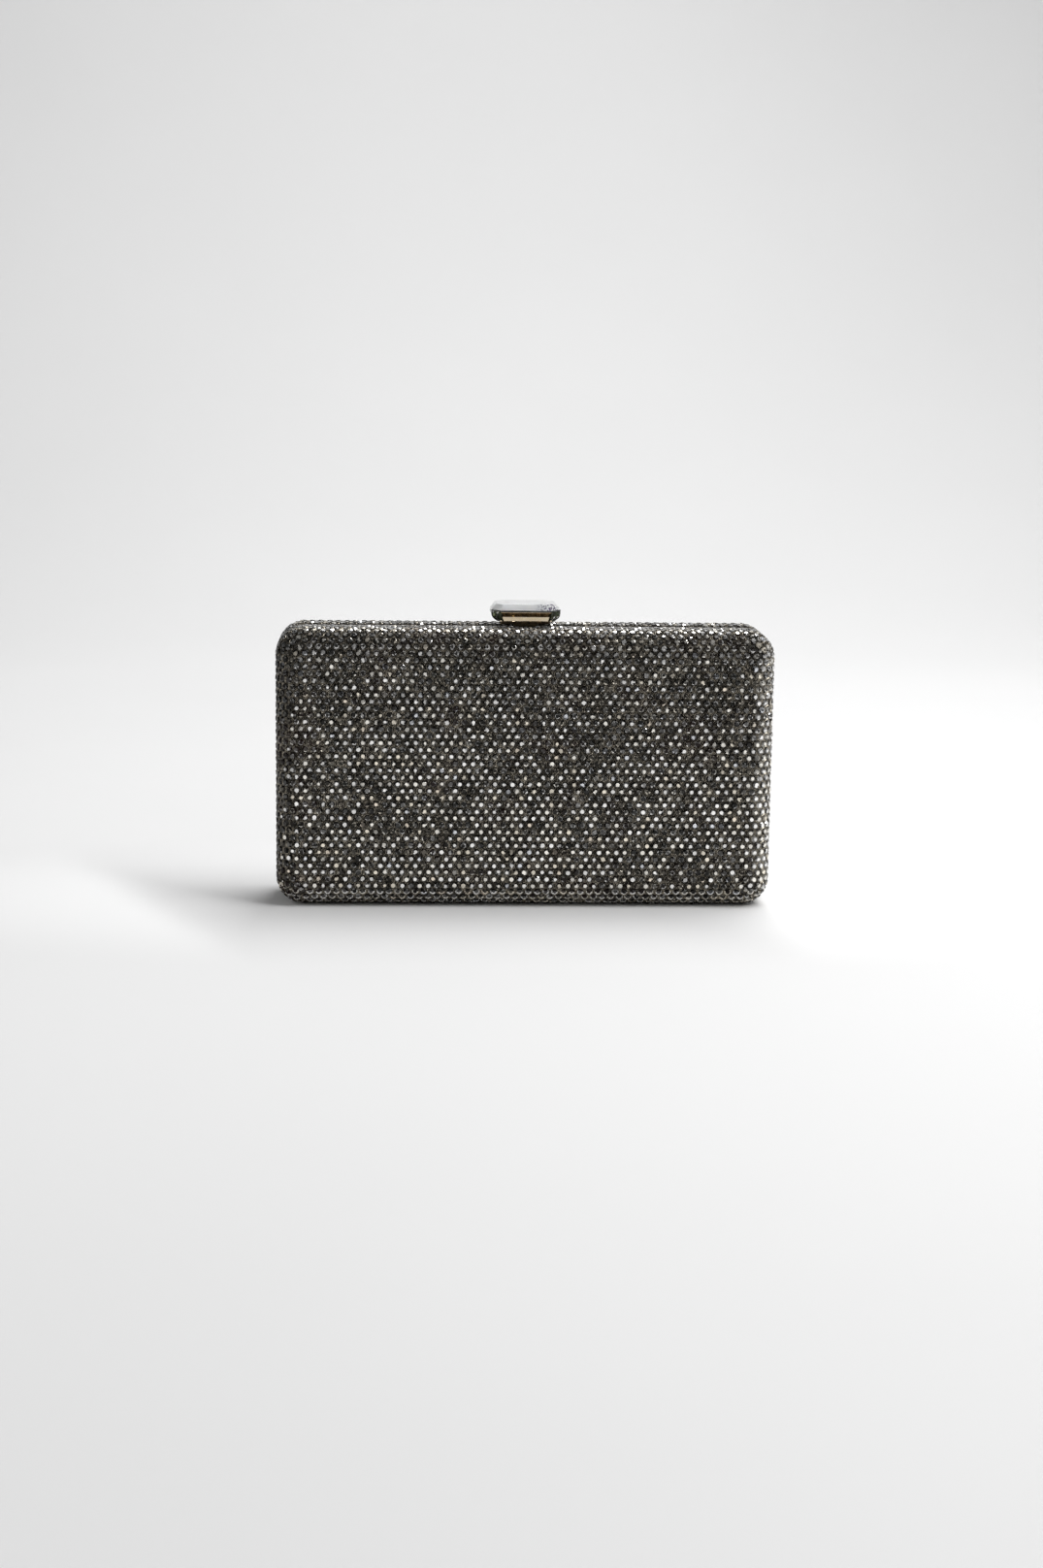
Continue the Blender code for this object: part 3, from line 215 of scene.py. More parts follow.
def join_nodes(tree, *links):
    """Links given as (node, output, node, input)."""
    for source, output, target, entry in links:
        tree.links.new(source.outputs[output], target.inputs[entry])


def maths(tree, operation, inputs=None, **settings):
    """A node that does one sum."""
    return add_node(tree, "Math", inputs, operation=operation, **settings)


def colour_mix(tree, blend="MIX", factor=0.5):
    """A node that mixes two colours."""
    return add_node(tree, "Mix", {"Factor": factor}, data_type="RGBA", blend_type=blend)


def grey(value):
    """A grey as a colour with alpha."""
    return (value, value, value, 1)


def add_ramp(tree, stops, interpolation="LINEAR"):
    """A colour ramp with its stops, given as (place, colour)."""
    node = add_node(tree, "ValToRGB")
    node.color_ramp.interpolation = interpolation
    elements = node.color_ramp.elements
    for stop, (spot, colour) in enumerate(stops):
        element = elements[stop] if stop < 2 else elements.new(spot)
        element.position = spot
        element.color = colour
    return node


def new_group(name, inputs, outputs):
    """An empty node group with its sockets, given as (name, kind, default) and (name, kind)."""
    group = bpy.data.node_groups.new(name, "ShaderNodeTree")
    for label, kind, default in inputs:
        socket = group.interface.new_socket(label, in_out="INPUT", socket_type="NodeSocket" + kind)
        socket.default_value = default
    for label, kind in outputs:
        group.interface.new_socket(label, in_out="OUTPUT", socket_type="NodeSocket" + kind)
    return group, group.nodes.new("NodeGroupInput"), group.nodes.new("NodeGroupOutput")


def use_group(tree, group, inputs=None):
    """Places a group in a material and sets its inputs."""
    return add_node(tree, "Group", inputs, node_tree=group)


def new_finish(name, **shader_values):
    """A material with its tree and shader; values go on the shader's own sockets, with _ for a space."""
    material = bpy.data.materials.new(name)
    material.use_nodes = True
    shader = material.node_tree.nodes["Principled BSDF"]
    for key, value in shader_values.items():
        shader.inputs[key.replace("_", " ")].default_value = value
    return material, material.node_tree, shader


# %% [markdown]
# ### Shared groups
#
# *Tone* mixes two colours by soft noise in object space. *Grain* gives a fine uneven height as a normal and
# a roughness mask. *Edge rub* finds edges by comparing the surface's normal with one rounded over a small
# radius, and returns a mask that is bright on edges.

# %% Build the shared groups
TONE, entry, leave = new_group(
    "tone",
    [
        ("First", "Color", grey(0.1)),
        ("Second", "Color", grey(0.2)),
        ("Scale", "Float", 60.0),
        ("Detail", "Float", 3.0),
        ("Low", "Float", 0.35),
        ("High", "Float", 0.65),
    ],
    [("Color", "Color"), ("Mask", "Float")],
)
place = add_node(TONE, "TexCoord")
noise = add_node(TONE, "TexNoise", {"Roughness": 0.55})
spread = add_node(TONE, "MapRange", interpolation_type="SMOOTHSTEP")
mix = colour_mix(TONE)
join_nodes(
    TONE,
    (place, "Object", noise, "Vector"),
    (entry, "Scale", noise, "Scale"),
    (entry, "Detail", noise, "Detail"),
    (noise, "Fac", spread, "Value"),
    (entry, "Low", spread, "From Min"),
    (entry, "High", spread, "From Max"),
    (spread, "Result", mix, "Factor"),
    (spread, "Result", leave, "Mask"),
    (entry, "First", mix, MIX_FIRST),
    (entry, "Second", mix, MIX_SECOND),
    (mix, MIX_RESULT, leave, "Color"),
)

GRAIN, entry, leave = new_group(
    "grain",
    [
        ("Scale", "Float", 900.0),
        ("Strength", "Float", 0.2),
        ("Distance", "Float", 0.0001),
        ("Smoothest", "Float", 0.2),
        ("Roughest", "Float", 0.4),
        ("Stretch", "Vector", (1.0, 1.0, 1.0)),
    ],
    [("Roughness", "Float"), ("Normal", "Vector")],
)
place = add_node(GRAIN, "TexCoord")
stretch = add_node(GRAIN, "VectorMath", operation="MULTIPLY")
noise = add_node(GRAIN, "TexNoise", {"Detail": 4.0, "Roughness": 0.6})
spread = add_node(GRAIN, "MapRange")
bump = add_node(GRAIN, "Bump")
join_nodes(
    GRAIN,
    (place, "Object", stretch, 0),
    (entry, "Stretch", stretch, 1),
    (stretch, "Vector", noise, "Vector"),
    (entry, "Scale", noise, "Scale"),
    (noise, "Fac", spread, "Value"),
    (entry, "Smoothest", spread, "To Min"),
    (entry, "Roughest", spread, "To Max"),
    (spread, "Result", leave, "Roughness"),
    (noise, "Fac", bump, "Height"),
    (entry, "Strength", bump, "Strength"),
    (entry, "Distance", bump, "Distance"),
    (bump, "Normal", leave, "Normal"),
)

EDGE_RUB, entry, leave = new_group(
    "edge_rub",
    [("Radius", "Float", 0.0002), ("Low", "Float", 0.02), ("High", "Float", 0.25)],
    [("Mask", "Float")],
)
rounded = add_node(EDGE_RUB, "Bevel", samples=6)
plain = add_node(EDGE_RUB, "NewGeometry")
alike = add_node(EDGE_RUB, "VectorMath", operation="DOT_PRODUCT")
unlike = maths(EDGE_RUB, "SUBTRACT", {0: 1.0}, use_clamp=True)
spread = add_node(EDGE_RUB, "MapRange", interpolation_type="SMOOTHSTEP")
join_nodes(
    EDGE_RUB,
    (entry, "Radius", rounded, "Radius"),
    (rounded, "Normal", alike, 0),
    (plain, "Normal", alike, 1),
    (alike, "Value", unlike, 1),
    (unlike, "Value", spread, "Value"),
    (entry, "Low", spread, "From Min"),
    (entry, "High", spread, "From Max"),
    (spread, "Result", leave, "Mask"),
)
print("groups:", [group.name for group in bpy.data.node_groups])


# %% [markdown]
# ### Grained finishes and worked metals
#
# Cloth, mesh and metal all drift in tone and have a fine grain, so one function joins those two. Plated and
# rolled metals also have edges rubbed bright, and differ only in colour, grain and that rub, so a second
# function makes every one of them from a row of a table.

# %% Grained finishes
RUBBED_GRAIN = {"Strength": 0.12, "Distance": 0.00003}


def grained_finish(name, first, second, tone, grain, **shader_values):
    """A finish that drifts from the first colour to the second and has a grain, with its tree and nodes."""
    material, tree, shader = new_finish(name, **shader_values)
    colour = use_group(tree, TONE, {"First": (*first, 1), "Second": (*second, 1), **tone})
    fine = use_group(tree, GRAIN, grain)
    join_nodes(
        tree,
        (colour, "Color", shader, "Base Color"),
        (fine, "Roughness", shader, "Roughness"),
        (fine, "Normal", shader, "Normal"),
    )
    return material, tree, shader, colour


def worked_metal(
    name, first, second, rubbed, smoothest, roughest, grain=1400.0, stretch=(1, 1, 1), tone=90.0
):
    """Metal whose colour drifts from first to second and turns to the rubbed colour along its edges.

    The shader first has the drifting colour, and then the mix with the rubbed one takes its place.
    """
    grain = {"Scale": grain, "Smoothest": smoothest, "Roughest": roughest, "Stretch": stretch, **RUBBED_GRAIN}
    material, tree, shader, colour = grained_finish(name, first, second, {"Scale": tone}, grain, Metallic=1.0)
    rub = use_group(tree, EDGE_RUB)
    mix = colour_mix(tree)
    mix.inputs[MIX_SECOND].default_value = (*rubbed, 1)
    join_nodes(
        tree,
        (colour, "Color", mix, MIX_FIRST),
        (rub, "Mask", mix, 0),
        (mix, MIX_RESULT, shader, "Base Color"),
    )
    return material


METALS = (  # name, first, second and rubbed colour, smoothest, roughest, and what else it sets
    ("gunmetal_plate", (0.14, 0.13, 0.12), (0.2, 0.185, 0.165), (0.5, 0.46, 0.4), 0.2, 0.34, {}),
    ("pale_gold_plate", (0.66, 0.55, 0.38), (0.78, 0.66, 0.48), (0.93, 0.84, 0.66), 0.12, 0.24, {}),
    ("aged_gold_plate", (0.3, 0.22, 0.12), (0.42, 0.32, 0.19), (0.8, 0.66, 0.44), 0.2, 0.36, {}),
    # The setting's metal: a dark bronze, painted darker still as painted shade under the clasp's stone.
    ("bronze_with_painted_shade", (0.05, 0.035, 0.022), (0.14, 0.10, 0.06), (0.4, 0.3, 0.18), 0.16, 0.3, {"tone": 500}),
    ("bezel_gold", (0.80, 0.66, 0.46), (0.86, 0.74, 0.55), (0.97, 0.9, 0.76), 0.10, 0.2, {"tone": 400.0}),
    # The plate's gold: the bezel gold painted darker and browner, as painted shade under the stone.
    ("gold_with_painted_shade", (0.52, 0.36, 0.17), (0.66, 0.45, 0.24), (0.9, 0.7, 0.45), 0.14, 0.26, {"tone": 120.0}),
    ("spring_wire", (0.5, 0.5, 0.52), (0.62, 0.62, 0.64), (0.9, 0.9, 0.9), 0.15, 0.3, {}),
    (
        "rolled_sheet", (0.52, 0.52, 0.53), (0.62, 0.62, 0.62), (0.8, 0.8, 0.8), 0.3, 0.5,
        {"grain": 700.0, "stretch": (1, 1, 12)},
    ),
    (
        "brushed_strip", (0.46, 0.44, 0.4), (0.58, 0.56, 0.52), (0.85, 0.84, 0.8), 0.2, 0.4,
        {"grain": 900.0, "stretch": (12, 1, 1)},
    ),
)
METAL = {row[0]: worked_metal(*row[:-1], **row[-1]) for row in METALS}
print("metals:", list(METAL))

# %% [markdown]
# ## The floor and the backdrop
#
# The case stands in a pale sweep: a floor that curves up into a wall, so that no line shows behind it. It
# is made as a profile drawn across. Its tone is a painted pool of light, paler inside an ellipse round the
# case's footprint and a little darker outside, to cancel the shade the case casts on the paper round it.

# %% Make the sweep
SWEEP_WIDTH = 7.0
SWEEP_FRONT = -2.2
SWEEP_BACK = 1.6
SWEEP_HEIGHT = 2.6
SWEEP_BEND = 0.9
# The first paper tone is painted paler round the case's footprint, a painted pool of light; the second is
# plain.
PAPER_PAINTED_LIGHT = (0.90, 0.915)
PAPER_FAR = (0.80, 0.815)
PAPER_SCALE = 2.0
FOOTPRINT = (0.12, 0.05)
GRADED_FROM, GRADED_TO = 1.0, 2.4


def sweep_profile(count):
    """Depth and height along the floor, round a quarter circle and up the wall."""
    turn = np.linspace(0, np.pi / 2, count)
    bend_y = SWEEP_BACK - SWEEP_BEND + SWEEP_BEND * np.sin(turn)
    bend_z = SWEEP_BEND - SWEEP_BEND * np.cos(turn)
    depth = np.concatenate(([SWEEP_FRONT], bend_y, [SWEEP_BACK]))
    height = np.concatenate(([0.0], bend_z, [SWEEP_HEIGHT]))
    return depth, height


depth, height = sweep_profile(32)
ends_x = np.array([-SWEEP_WIDTH / 2, SWEEP_WIDTH / 2])
count = len(depth)
points = np.stack((np.repeat(ends_x, count), np.tile(depth, 2), np.tile(height, 2)), axis=-1)
here = np.arange(count - 1)
sweep_faces = np.stack((here, here + count, here + count + 1, here + 1), axis=-1)

PAPER, tree, shader = new_finish("sweep_paper", Roughness=0.9, Specular_IOR_Level=0.1)
# Painted light: the paler tone inside the ellipse round the case's footprint cancels the shade the case
# casts.
painted_light_tone, far_tone = (
    use_group(tree, TONE, {"First": grey(first), "Second": grey(second), "Scale": PAPER_SCALE})
    for first, second in (PAPER_PAINTED_LIGHT, PAPER_FAR)
)
where = add_node(tree, "TexCoord")
shrink = (1 / FOOTPRINT[0], 1 / FOOTPRINT[1], 1.0)
footprint = add_node(tree, "VectorMath", {1: shrink}, operation="MULTIPLY")
distance = add_node(tree, "VectorMath", operation="LENGTH")
limits = {"From Min": GRADED_FROM, "From Max": GRADED_TO}
away = add_node(tree, "MapRange", limits, interpolation_type="SMOOTHSTEP")
painted_light_mix = colour_mix(tree)
join_nodes(
    tree,
    (where, "Object", footprint, 0),
    (footprint, "Vector", distance, 0),
    (distance, "Value", away, "Value"),
    (away, "Result", painted_light_mix, "Factor"),
    (painted_light_tone, "Color", painted_light_mix, MIX_FIRST),
    (far_tone, "Color", painted_light_mix, MIX_SECOND),
    (painted_light_mix, MIX_RESULT, shader, "Base Color"),
)
sweep = make_piece("sweep", points, [sweep_faces], PAPER, smooth=True)
print("sweep:", len(sweep.data.polygons), "faces")

# %% [markdown]
# ## The light
#
# A long narrow soft lamp hangs over the case, a little behind it and to the right. It lights the top, gives
# the stones their small hard flashes and lays the shadow to the left. A second lamp lights only the wall.
# The sky is dim, darkest overhead and brighter towards the back, because faceted stones only sparkle if what
# they mirror differs from one direction to the next.

# %% Light it
SKY_TONES = ((0.0, 0.5), (0.5, 0.42), (0.62, 0.45), (0.80, 0.8), (0.85, 0.3), (0.9, 0.08), (1.0, 0.06))
SKY_STRENGTH = 1.0  # SKY_TONES runs from straight down, 0, to straight up, 1
MORE_TO_RIGHT = 0.05
MORE_TO_BACK = 0.7
LAMPS = (  # name, place, what it is aimed at, length and width, power
    ("overhead", (0.46, 0.05, 1.15), (0.12, -0.12, 0.0), (2.0, 0.14), 20.3),
    ("backdrop_lamp", (0.45, 0.5, 1.6), (0.45, 1.6, 1.60), (2.8, 0.4), 10.6),
)

world = bpy.data.worlds.new("sky")
bpy.context.scene.world = world
world.use_nodes = True
tree = world.node_tree
sky = tree.nodes["Background"]
direction = add_node(tree, "TexCoord")
parts = add_node(tree, "SeparateXYZ")
ramp = add_ramp(tree, [(spot, grey(value)) for spot, value in SKY_TONES])
half = maths(tree, "MULTIPLY_ADD", {1: 0.5, 2: 0.5})
to_right = maths(tree, "MULTIPLY_ADD", {1: MORE_TO_RIGHT, 2: SKY_STRENGTH})
to_back = maths(tree, "MULTIPLY_ADD", {1: MORE_TO_BACK})
join_nodes(
    tree,
    (direction, "Generated", parts, "Vector"),
    (parts, "Z", half, 0),
    (half, "Value", ramp, "Fac"),
    (ramp, "Color", sky, "Color"),
    (parts, "X", to_right, 0),
    (parts, "Y", to_back, 0),
    (to_right, "Value", to_back, 2),
    (to_back, "Value", sky, "Strength"),
)


def soft_lamp(name, place, aim, size, power):
    """A rectangular area lamp at a place, turned to a point."""
    lamp = bpy.data.objects.new(name, bpy.data.lights.new(name, "AREA"))
    lamp.data.shape = "RECTANGLE"
    lamp.data.size, lamp.data.size_y = size
    lamp.data.energy = power
    lamp.location = place
    lamp.rotation_euler = (Vector(aim) - Vector(place)).to_track_quat("-Z", "Y").to_euler()
    bpy.context.scene.collection.objects.link(lamp)


for lamp in LAMPS:
    soft_lamp(*lamp)

# %% [markdown]
# ## The skin of the case
#
# Each half is a tray: a flat face whose edges roll over into straight walls that end at the seam. Any spot
# on it can be named by a point of the flat core, a direction outwards from it and the distance t walked
# along the surface in that direction. One function turns these into a place and a normal, and every layer
# of the case, from the stones to the lining, is that function at its own depth.

# %% The skin as a function
SOLID_HIGH = SOLID_BOUNDS[1]
HALF_WIDTH = SOLID_HIGH.x
HALF_DEPTH = SOLID_HIGH.y
COVER_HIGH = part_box("front_stone_cover")[1]
MIDDLE = COVER_HIGH.z / 2
SEAM_START = -COVER_HIGH.y
CORNER_RADIUS = 0.010
EDGE_RADIUS = 0.009
FLAT_RIM = CORNER_RADIUS - EDGE_RADIUS
ROLL = EDGE_RADIUS * math.pi / 2
CORE_X = HALF_WIDTH - CORNER_RADIUS
CORE_Z = MIDDLE - CORNER_RADIUS


def walk_to(depth):
    """Distance t along the skin at which a straight wall is that far from the seam plane."""
    return FLAT_RIM + ROLL + HALF_DEPTH - EDGE_RADIUS - depth


def skin(core, outwards, walked, inset, side):
    """Places and normals on the case. core and outwards are (n, 2) arrays of x and z.

    For the first FLAT_RIM the walk is flat. Then it rolls through an angle of walked / EDGE_RADIUS, so that
    the reach is EDGE_RADIUS times its sine and the fall EDGE_RADIUS times one minus its cosine. After a
    quarter turn it is straight down the wall. inset moves the place inwards along the normal.
    """
    turn = np.clip((walked - FLAT_RIM) / EDGE_RADIUS, 0, np.pi / 2)
    reach = np.minimum(walked, FLAT_RIM) + EDGE_RADIUS * np.sin(turn)
    fall = EDGE_RADIUS * (1 - np.cos(turn)) + np.maximum(walked - FLAT_RIM - ROLL, 0)
    out = reach - inset * np.sin(turn)
    places = np.stack(
        (
            core[:, 0] + outwards[:, 0] * out,
            side * (HALF_DEPTH - fall - inset * np.cos(turn)),
            MIDDLE + core[:, 1] + outwards[:, 1] * out,
        ),
        axis=-1,
    )
    normals = np.stack(
        (outwards[:, 0] * np.sin(turn), side * np.cos(turn), outwards[:, 1] * np.sin(turn)), axis=-1
    )
    return places, normals


print("walk to the seam:", round(walk_to(SEAM_START) * 1000, 2), "mm")

# %% [markdown]
# ## Where the stones go
#
# The cover is sold as a mesh: rows of stones, each row shifted by half a stone. On the flat face and over
# the four straight edges a plain lattice in walked distance lies on the skin without a wrinkle. Only the
# four corners can't take it. There the maker fits stones in one by one, and so does this cell: it keeps
# taking the free spot that lies closest to the stones already set. What is left open between them gets
# smaller stones in two more rounds, as a maker would do it.

# %% Lay out the stones
STONE_PITCH = 0.00316
ROW_PITCH = 0.00249
ROW_START = 0.0828 - MIDDLE
ROWS = np.arange(-48, 24)
COLUMNS = np.arange(-36, 37)
STONE_RADIUS = 0.00129
FILL_ROUNDS = ((0.00260, 1.0), (0.00222, 0.72), (0.00192, 0.49))
FAN_STEP = 0.00045
FAN_ANGLES = 40
CORNER_REACH = 0.012
DISTANCE_BLOCKS = 40
SEAM_MARGIN = 0.00135
CHANNEL_DEPTH = 0.00205
CHANNEL_HEIGHT = 0.00355
SLOT_HALF_WIDTH = 0.0046
SLOT_DEPTH = 0.0056
ROUND_CHANNEL = (0.0012, 0.0008)
ROUND_SLOT = 0.0011


def lattice(last_walk):
    """Core, outward direction and walk of the staggered rows, without the four corners."""
    row, column = (grid.ravel() for grid in np.meshgrid(ROWS, COLUMNS, indexing="ij"))
    u = STONE_PITCH * (column + 0.5 * (row % 2))
    v = ROW_START + ROW_PITCH * row
    over_u = np.maximum(np.abs(u) - CORE_X, 0)
    over_v = np.maximum(np.abs(v) - CORE_Z, 0)
    walked = np.maximum(over_u, over_v)
    keep = (np.minimum(over_u, over_v) == 0) & (walked <= last_walk)
    u, v, over_u, over_v, walked = (values[keep] for values in (u, v, over_u, over_v, walked))
    core = np.stack((np.clip(u, -CORE_X, CORE_X), np.clip(v, -CORE_Z, CORE_Z)), axis=-1)
    outwards = np.stack((np.sign(u) * (over_u > 0), np.sign(v) * (over_u == 0)), axis=-1)
    return core, outwards, walked


def corner_spots(last_walk):
    """A fine fan of candidate spots round the four corners of the core."""
    walks = np.arange(0.4 * FAN_STEP, last_walk, FAN_STEP)
    angles = np.linspace(0, np.pi / 2, FAN_ANGLES)
    walk, angle = (grid.ravel() for grid in np.meshgrid(walks, angles, indexing="ij"))
    signs = np.array([(1, 1), (-1, 1), (-1, -1), (1, -1)])
    outwards = signs[:, None, :] * np.stack((np.cos(angle), np.sin(angle)), axis=-1)[None]
    core = np.broadcast_to(signs[:, None, :] * np.array([CORE_X, CORE_Z]), outwards.shape)
    return core.reshape(-1, 2), outwards.reshape(-1, 2), np.tile(walk, 4)


def fill_corners(set_places, spots):
    """Indices of the spots taken and the size of the stone on each.

    A round is (least distance, size). It always takes the free spot nearest to a stone, but none under its
    least distance, until nothing is free.
    """
    distance = np.full(len(spots), np.inf)
    near = set_places[(np.abs(set_places[:, 0]) > CORE_X - CORNER_REACH)]
    for block in np.array_split(near, DISTANCE_BLOCKS):
        gap = np.linalg.norm(spots[:, None] - block[None], axis=-1).min(axis=1)
        distance = np.minimum(distance, gap)
    taken, sizes = [], []
    for least, size in FILL_ROUNDS:
        while distance.max() >= least:
            chosen = int(np.argmin(np.where(distance >= least, distance, np.inf)))
            taken.append(chosen)
            sizes.append(size)
            distance = np.minimum(distance, np.linalg.norm(spots - spots[chosen], axis=-1))
    return np.array(taken), np.array(sizes)


def in_channel(places, more_depth=0.0, more_height=0.0):
    """Which places lie in the hinge channel along the bottom of the seam, or that much round it."""
    depth, height = CHANNEL_DEPTH + more_depth, CHANNEL_HEIGHT + more_height
    return (np.abs(places[..., 1]) < depth) & (places[..., 2] < height)


def in_slot(places, more=0.0):
    """Which places lie over the slot that the clasp's lever passes, or that much round it."""
    over_slot = (np.abs(places[..., 0]) < SLOT_HALF_WIDTH + more) & (places[..., 1] < SLOT_DEPTH + more)
    return over_slot & (places[..., 2] > MIDDLE)


def stone_layout(side):
    """Places, normals and sizes of the stones of one half, and which of them belong to the lattice."""
    last_walk = walk_to(SEAM_START) - SEAM_MARGIN
    regular = lattice(last_walk)
    places, _ = skin(*regular, 0.0, side)
    fan = corner_spots(last_walk)
    spots, _ = skin(*fan, 0.0, side)
    taken, sizes = fill_corners(places, spots)
    core, outwards, walked = (np.concatenate((a, b[taken])) for a, b in zip(regular, fan))
    places, normals = skin(core, outwards, walked, 0.0, side)
    is_regular = np.arange(len(places)) < len(regular[2])
    sizes = np.concatenate((np.ones(len(regular[2])), sizes))
    keep = ~in_channel(places, *ROUND_CHANNEL)
    if side > 0:
        keep &= ~in_slot(places, ROUND_SLOT)
    return places[keep], normals[keep], sizes[keep], is_regular[keep]


LAYOUTS = {"front": stone_layout(-1), "rear": stone_layout(1)}
print("stones:", {half: len(layout[0]) for half, layout in LAYOUTS.items()})

# %% [markdown]
# ## Cutting the stones
#
# Each stone is a small brilliant: a central facet, a ring of eight star facets, eight crown facets down to
# the girdle and a flat back. That is 18 faces, few enough for thousands of stones. Hand-cut ones are uneven,
# so each is tipped a little, and its central facet is moved and scaled.

# %% Shape the stones
SIDES = 8
FACET_RADII = np.array([0.47, 0.72, 1.0]) * STONE_RADIUS
FACET_DEPTHS = np.array([0.00003, 0.00013, 0.00060])
STONE_WOBBLE = 0.045
REAR_FACING = 0.3


def stone_axes(normals, random, wobble):
    """Three axes for each stone: its normal tipped a little at random, and two axes across it."""
    count = len(normals)
    lead = np.where(np.abs(normals[:, :1]) < 0.8, np.array([[1.0, 0, 0]]), np.array([[0, 1.0, 0]]))
    first = across(lead, normals)
    second = np.cross(normals, first)
    tip = random.normal(0, wobble, (count, 2))
    axis = normals + first * tip[:, :1] + second * tip[:, 1:]
    axis /= np.linalg.norm(axis, axis=1, keepdims=True)
    first = across(first, axis)
    return axis, first, np.cross(axis, first)


def rings_about(places, axes, angle, radii, depths):
    """Rings of points about each place, shape (n, rings, angles, 3), with radii as (n, rings).

    A point is place - axis * depth + radius * (first * cos + second * sin).
    """
    axis, first, second = axes
    middle = places[:, None, :] - axis[:, None, :] * depths[None, :, None]
    return middle[:, :, None, :] + spokes(first, second, angle)[:, None] * radii[:, :, None, None]


def stone_points(places, axes, turn, size, shift, table):
    """Rings of each stone; shift moves the central facet off the middle and table scales it."""
    angle = turn[:, None] + np.arange(SIDES) * (2 * np.pi / SIDES)
    radii = FACET_RADII * size[:, None]
    radii[:, 0] *= table
    rings = rings_about(places, axes, angle, radii, FACET_DEPTHS)
    rings[:, 0] += (axes[1] * shift[:, :1] + axes[2] * shift[:, 1:])[:, None]
    return rings


# %% [markdown]
# ### Painted glints of foil
#
# A real stone is dark glass over silver foil, so a facet is nearly black until the foil behind it flashes.
# Modelling the foil under every stone would cost too much, so each facet carries a number for how much foil
# shows in it. Where that foil shows is partly painted light: painted glints more often low down, towards the
# left, on the right edge and on top, and painted shade on the left edge and in the rows under the top. Where
# the skin turns under, painted crescents of matte foil stand for soft light from the floor instead of a
# mirrored lamp, and a second number says how far.

# %% Number the flashes
TAIL_TURNS = (-2.2, -1.7, 0.6, -0.9)
TAIL_ODDS = (0.45, 0.25, 0.15, 0.15)
FLASH_BASE = 0.60
FLASH_WAVES = 0.12
# These weights place painted light: glints more often low down, towards the left and on top, shade on the
# left edge.
PAINTED_GLINT_LOW_DOWN = 4.0
PAINTED_GLINT_LEFTWARDS = 1.4
PAINTED_GLINT_RIGHT_EDGE = 0.5
PAINTED_SHADE_LEFT_EDGE = 1.0
PAINTED_GLINT_ON_TOP = 0.7


def rising(values, start, width):
    """0 up to start, and from there in a straight line to 1 over the width."""
    return np.clip((values - start) / width, 0, 1)


